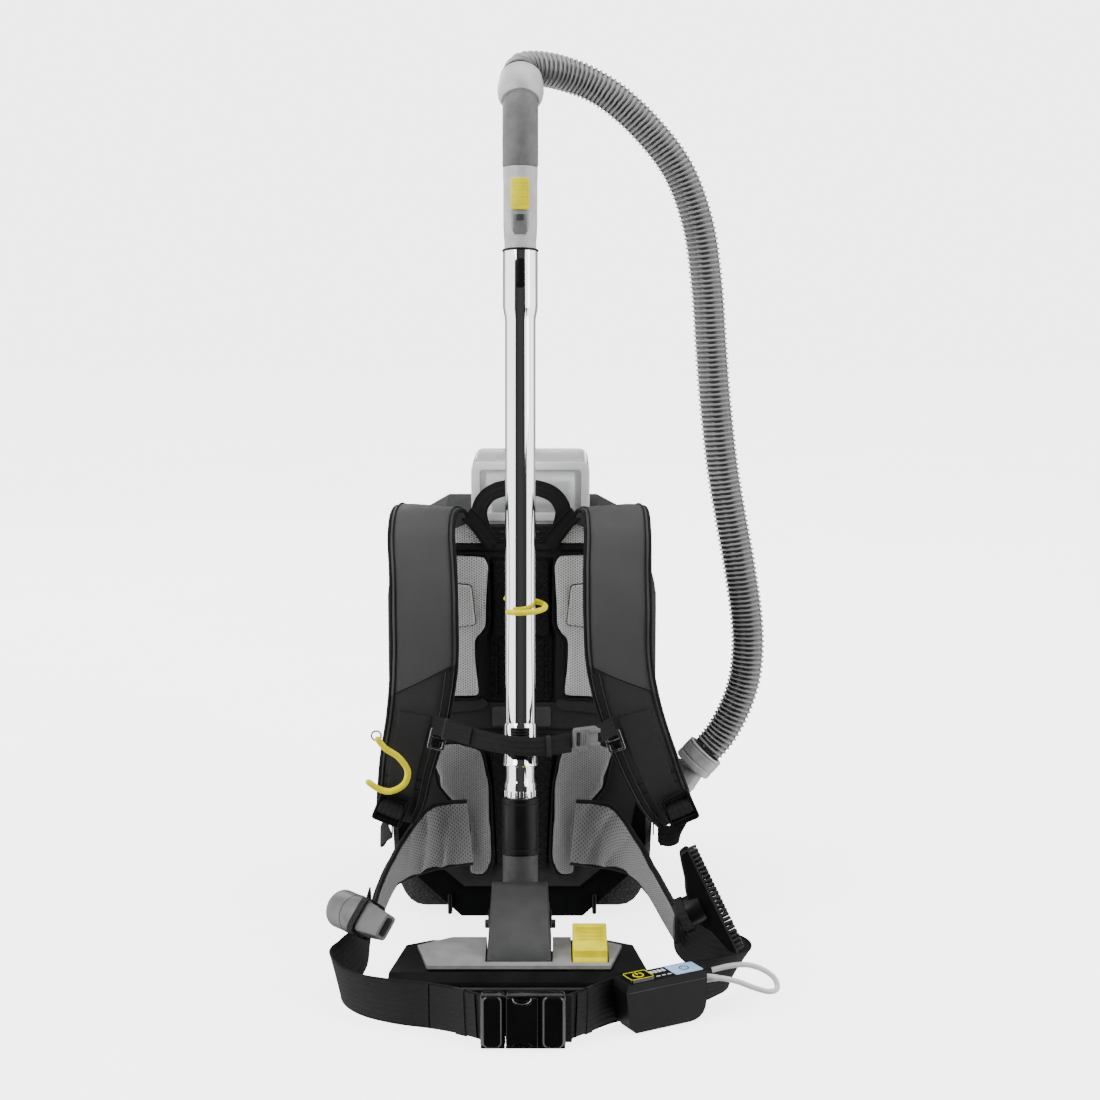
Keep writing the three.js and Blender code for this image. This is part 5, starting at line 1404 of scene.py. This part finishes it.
def make_control_unit():
    keep("control_unit", "black", 2.2)
    keep("power_button", "gloss_black", 1.2)
    top = 55.0
    x, y, z = -28.5, -2.5, top + 4.1
    mark = [wire([(x + u, y + v, z) for u, v in arc(5.6, 125, 290, 24)], 0.65, 8),
            wire([(x, y + 1.2, z), (x, y + 6.6, z)], 0.65, 8)]
    border = rounded(-42, -15, -12.5, 7.5, 2)
    mark.append(wire([(x, y, top + 3.95) for x, y in [*border, border[0]]], 0.4, 6))
    piece("power_symbol", joined(mark), "yellow", "power_button", place=UNIT)
    label = slab([rounded(13, 47, -12.5, 12.5, 1.5)], 0.7, 0.2,
                 place=Matrix.Translation((0, 0, (top - 0.2) * MM)))
    piece("status_label", label, "blue", place=UNIT)
    ring = [(30 + x, y, top + 0.5) for x, y in arc(5.0, 0, 360, 24)]
    piece("status_ring", wire(ring, 0.6, 8), "grey", place=UNIT)
    marks = [block((-9 + 5 * i, 3.0, top - 0.1), (-5.6 + 5 * i, 9.4, top + 0.35), 0.15) for i in range(4)]
    marks += [block((-8 + 7 * i, -7, top - 0.1), (-3.5 + 7 * i, -5.6, top + 0.3), 0.12) for i in range(3)]
    piece("status_lights", joined(marks), "print", place=UNIT)
    strip = wire([(-47.5, -15.1, 46), (0, -15.2, 46.4), (49.4, -15.1, 46)], 0.35, 8)
    clip = block((-30, 13.5, 12), (30, 16.8, 44), 1.4)
    piece("control_unit_seam", strip, "grey", place=UNIT)
    piece("control_unit_clip", clip, "black", place=UNIT)


# ---------------------------------------------------------------- hooks
STRAP_HOOK = [
    (-166, -225, 256), (-156, -225, 243), (-140, -226, 232), (-130, -227, 216), (-134, -227, 201),
    (-150, -227, 192), (-164, -227, 195), (-178, -227, 205),
]


def make_hooks():
    bar = [place for place, _ in smooth_line(mm(STRAP_HOOK), 60)]
    radii = [r * MM for r in (1.6, 3.1, *[3.7] * (len(bar) - 4), 3.2, 1.8)]
    piece("strap_hook_bar", round_bar(bar, radii, 20), "yellow", "strap_hook", stands_for="strap_hook")
    ring = [(-166 + x, -222.6, 257 + z) for x, z in arc(5.6, 0, 360, 20)]
    piece("strap_hook_eye", wire(ring, 1.1, 10), "steel")

    x, y, z = 2, -209.6, 404
    radius, rise, steps, rod, stem_up = 26.6, 8, 60, 3.2, 5.3
    loop = [
        (x - v, y + u, z + rise * (i / steps) ** 2) for i, (u, v) in enumerate(arc(radius, -222, 272, steps))
    ]
    radii = [rod * MM] * len(loop)
    radii[0] = radii[-1] = rod / 2 * MM
    stem = wire([(x, y + radius - 0.5, z + stem_up), (x, -150, z + stem_up), (x, -117.6, z + stem_up)], rod,
                20)
    rosette = lathe([(0.01, 0), (9.0, 0), (9.6, 1.0), (8.4, 3.0), (4.4, 4.4), (4.0, 7.0), (0.01, 7.2)], 40,
                    place=frame_at((x, -125.6, z + stem_up), turned(90, "X")))
    piece("wand_hook_ring", joined([round_bar(mm(loop), radii, 20), stem]), "yellow", stands_for="wand_hook")
    piece("wand_hook_rosette", rosette, "black")


# ---------------------------------------------------------------- pod, cover and battery
ELBOW = [(163.6, -20, 128), (170, -20, 128), (186, -20, 133), (200, -20, 147), (210, -20, 163)]


def make_pod():
    keep("pod_body", "foam", 3.0, 40)
    keep("carrier_frame", "black", 1.6)
    keep("motor_unit", "grey", 1.0)
    keep("filter_bag", "fleece", 4.0)
    keep("exhaust_grille", "black", 0.6)
    keep("rear_lid", "grey", 1.2)
    for side in ("left", "right"):
        keep("lid_latch_" + side, "yellow", 0.9)
    back = (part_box("lid_latch_left")[1].y - 8.0 * MM) / MM
    ribs = [block((-96, back - 1.0, z), (96, back + 1.4, z + 9), 1.1) for z in range(70, 175, 26)]
    piece("lid_ribs", joined(ribs), "grey", "rear_lid")
    frame_line = rounded(-118, 118, 54, 206, 16)
    border = wire([(x, back + 0.2, z) for x, z in [*frame_line, frame_line[0]]], 1.3, 10)
    piece("lid_border", border, "black", "rear_lid")
    pod_low, pod_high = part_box("pod_body")
    y0, half = pod_low.y / MM, pod_high.x / MM
    # Parting lines of the two foam halves and a side grip recess with ribs.
    lines = [wire([(s * (half + 0.1), y0 + 66, z) for z in range(80, 391, 31)], 0.9, 8) for s in (-1, 1)]
    piece("pod_parting_lines", joined(lines), "black")
    grips = []
    for side in (-1, 1):
        for z in range(250, 326, 15):
            x0, x1 = sorted((side * (half - 0.6), side * (half + 1.0)))
            grips.append(block((x0, 10, z), (x1, 96, z + 6), 0.7))
    piece("pod_side_ribs", joined(grips), "foam")
    fins = [block((sx * 88 - 2.6, -118, 4), (sx * 88 + 2.6, -98, 30), 1.8) for sx in (-1, 1)]
    piece("base_fins", joined(fins), "black")
    feet = [block((sx * 52 - 12, y, 0), (sx * 52 + 12, y + 20, 2.2),
                  0.9) for sx in (-1, 1) for y in (-100, 90)]
    piece("foot_pads", joined(feet), "rubber")
    flange = lathe(pipe([(26, 0.3), (26, 3.6), (24.6, 4.8)], [(19.6, 0.3), (19.6, 4.8)]),
                   place=frame_at((half, -20, 128), turned(90, "Y")))
    bend = smooth_bar(ELBOW, 18.5, 40, 48)
    line = smooth_line(mm(ELBOW), 40)
    rings = []
    for place, way in (line[10], line[20], line[30]):
        ring = lathe(pipe([(18.7, -1.3), (19.3, -0.7), (19.3, 0.7), (18.7, 1.3)],
                          [(17.5, -1.3), (17.5, 1.3)]), 48, place=Matrix.Translation(place) @ along(way))
        rings.append(ring)
    piece("inlet_elbow_bend", joined([flange, bend, *rings]), "light_grey", stands_for="inlet_elbow")
    cuff = lathe(pipe(
        [(23.6, -13), (24.9, -11.6), (24.9, -5), (24.2, -4.4), (24.2, -2.8), (24.9, -2.2), (24.9, 9),
         (24.2, 9.6),
         (24.2, 11), (24.9, 11.6), (24.9, 13), (23.6, 14)],
        [(20.2, -13), (20.2, 14)],
    ), 72)
    piece("inlet_cuff_ring", cuff, "light_grey", "inlet_cuff", place=CUFF, stands_for="inlet_cuff")


def make_battery():
    keep("battery", "black", 1.5)
    low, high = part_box("battery")
    x0, x1, front, top = low.x / MM, high.x / MM, low.y / MM, high.z / MM
    label = slab([rounded(x0 + 12, x1 - 12, top - 46, top - 8, 3)], 0.9, 0.3, place=front_at(front))
    piece("battery_label", label, "print")
    cells = [block((x0 + 16 + 12 * i, front - 1.5, top - 34), (x0 + 24 + 12 * i, front - 0.6, top - 18), 0.3)
             for i in range(4)]
    piece("battery_gauge", joined(cells), "grey")
    ribs = [block((x0 + 8, front + 14 + 14 * i, top - 0.6), (x1 - 8, front + 20 + 14 * i, top + 1.6),
                  0.6) for i in range(5)]
    piece("battery_top_ribs", joined(ribs), "black")

    keep("battery_cover", "cover", 1.0)
    low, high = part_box("battery_cover")
    x0, x1, front, top = low.x / MM, high.x / MM, low.y / MM, high.z / MM
    foot = low.z / MM
    rims = []
    for inset, wide in ((0.6, 9.5), (17.5, 7.0)):
        a, b, c = x0 + inset, x1 - inset, top - inset
        outer = rounded(a, b, foot + 4, c, 9 if inset < 5 else 5)
        hole = rounded(a + wide, b - wide, foot + 4 + wide, c - wide, 4)
        frame_ring = slab([outer, hole], 1.6, 0.5, place=front_at(front + 0.6 + 1.4 * (inset > 5)))
        rims.append(frame_ring)
    piece("cover_rims", joined(rims), "cover_rim", "battery_cover")
    knuckles = [block((x, high.y / MM + 0.1, 499), (x + 16, high.y / MM + 3.0, 506), 1.2) for x in (-34, 40)]
    piece("cover_hinges", joined(knuckles), "cover_rim", "battery_cover")


def main():
    make_stage()
    make_hose()
    make_cable()
    make_wand()
    make_nozzle()
    ribbons = {side: make_shoulder_strap(side) for side in ("left", "right")}
    make_strap_clips(ribbons)
    make_pads()
    make_back_panel()
    make_grab_handle()
    make_anchors()
    make_ladder_locks()
    make_sternum_strap()
    for side in ("left", "right"):
        make_hip_wing(side)
    make_belt()
    make_belt_buckle()
    make_crevice_tool()
    make_brush_tool()
    make_control_unit()
    make_hooks()
    make_pod()
    make_battery()


main()
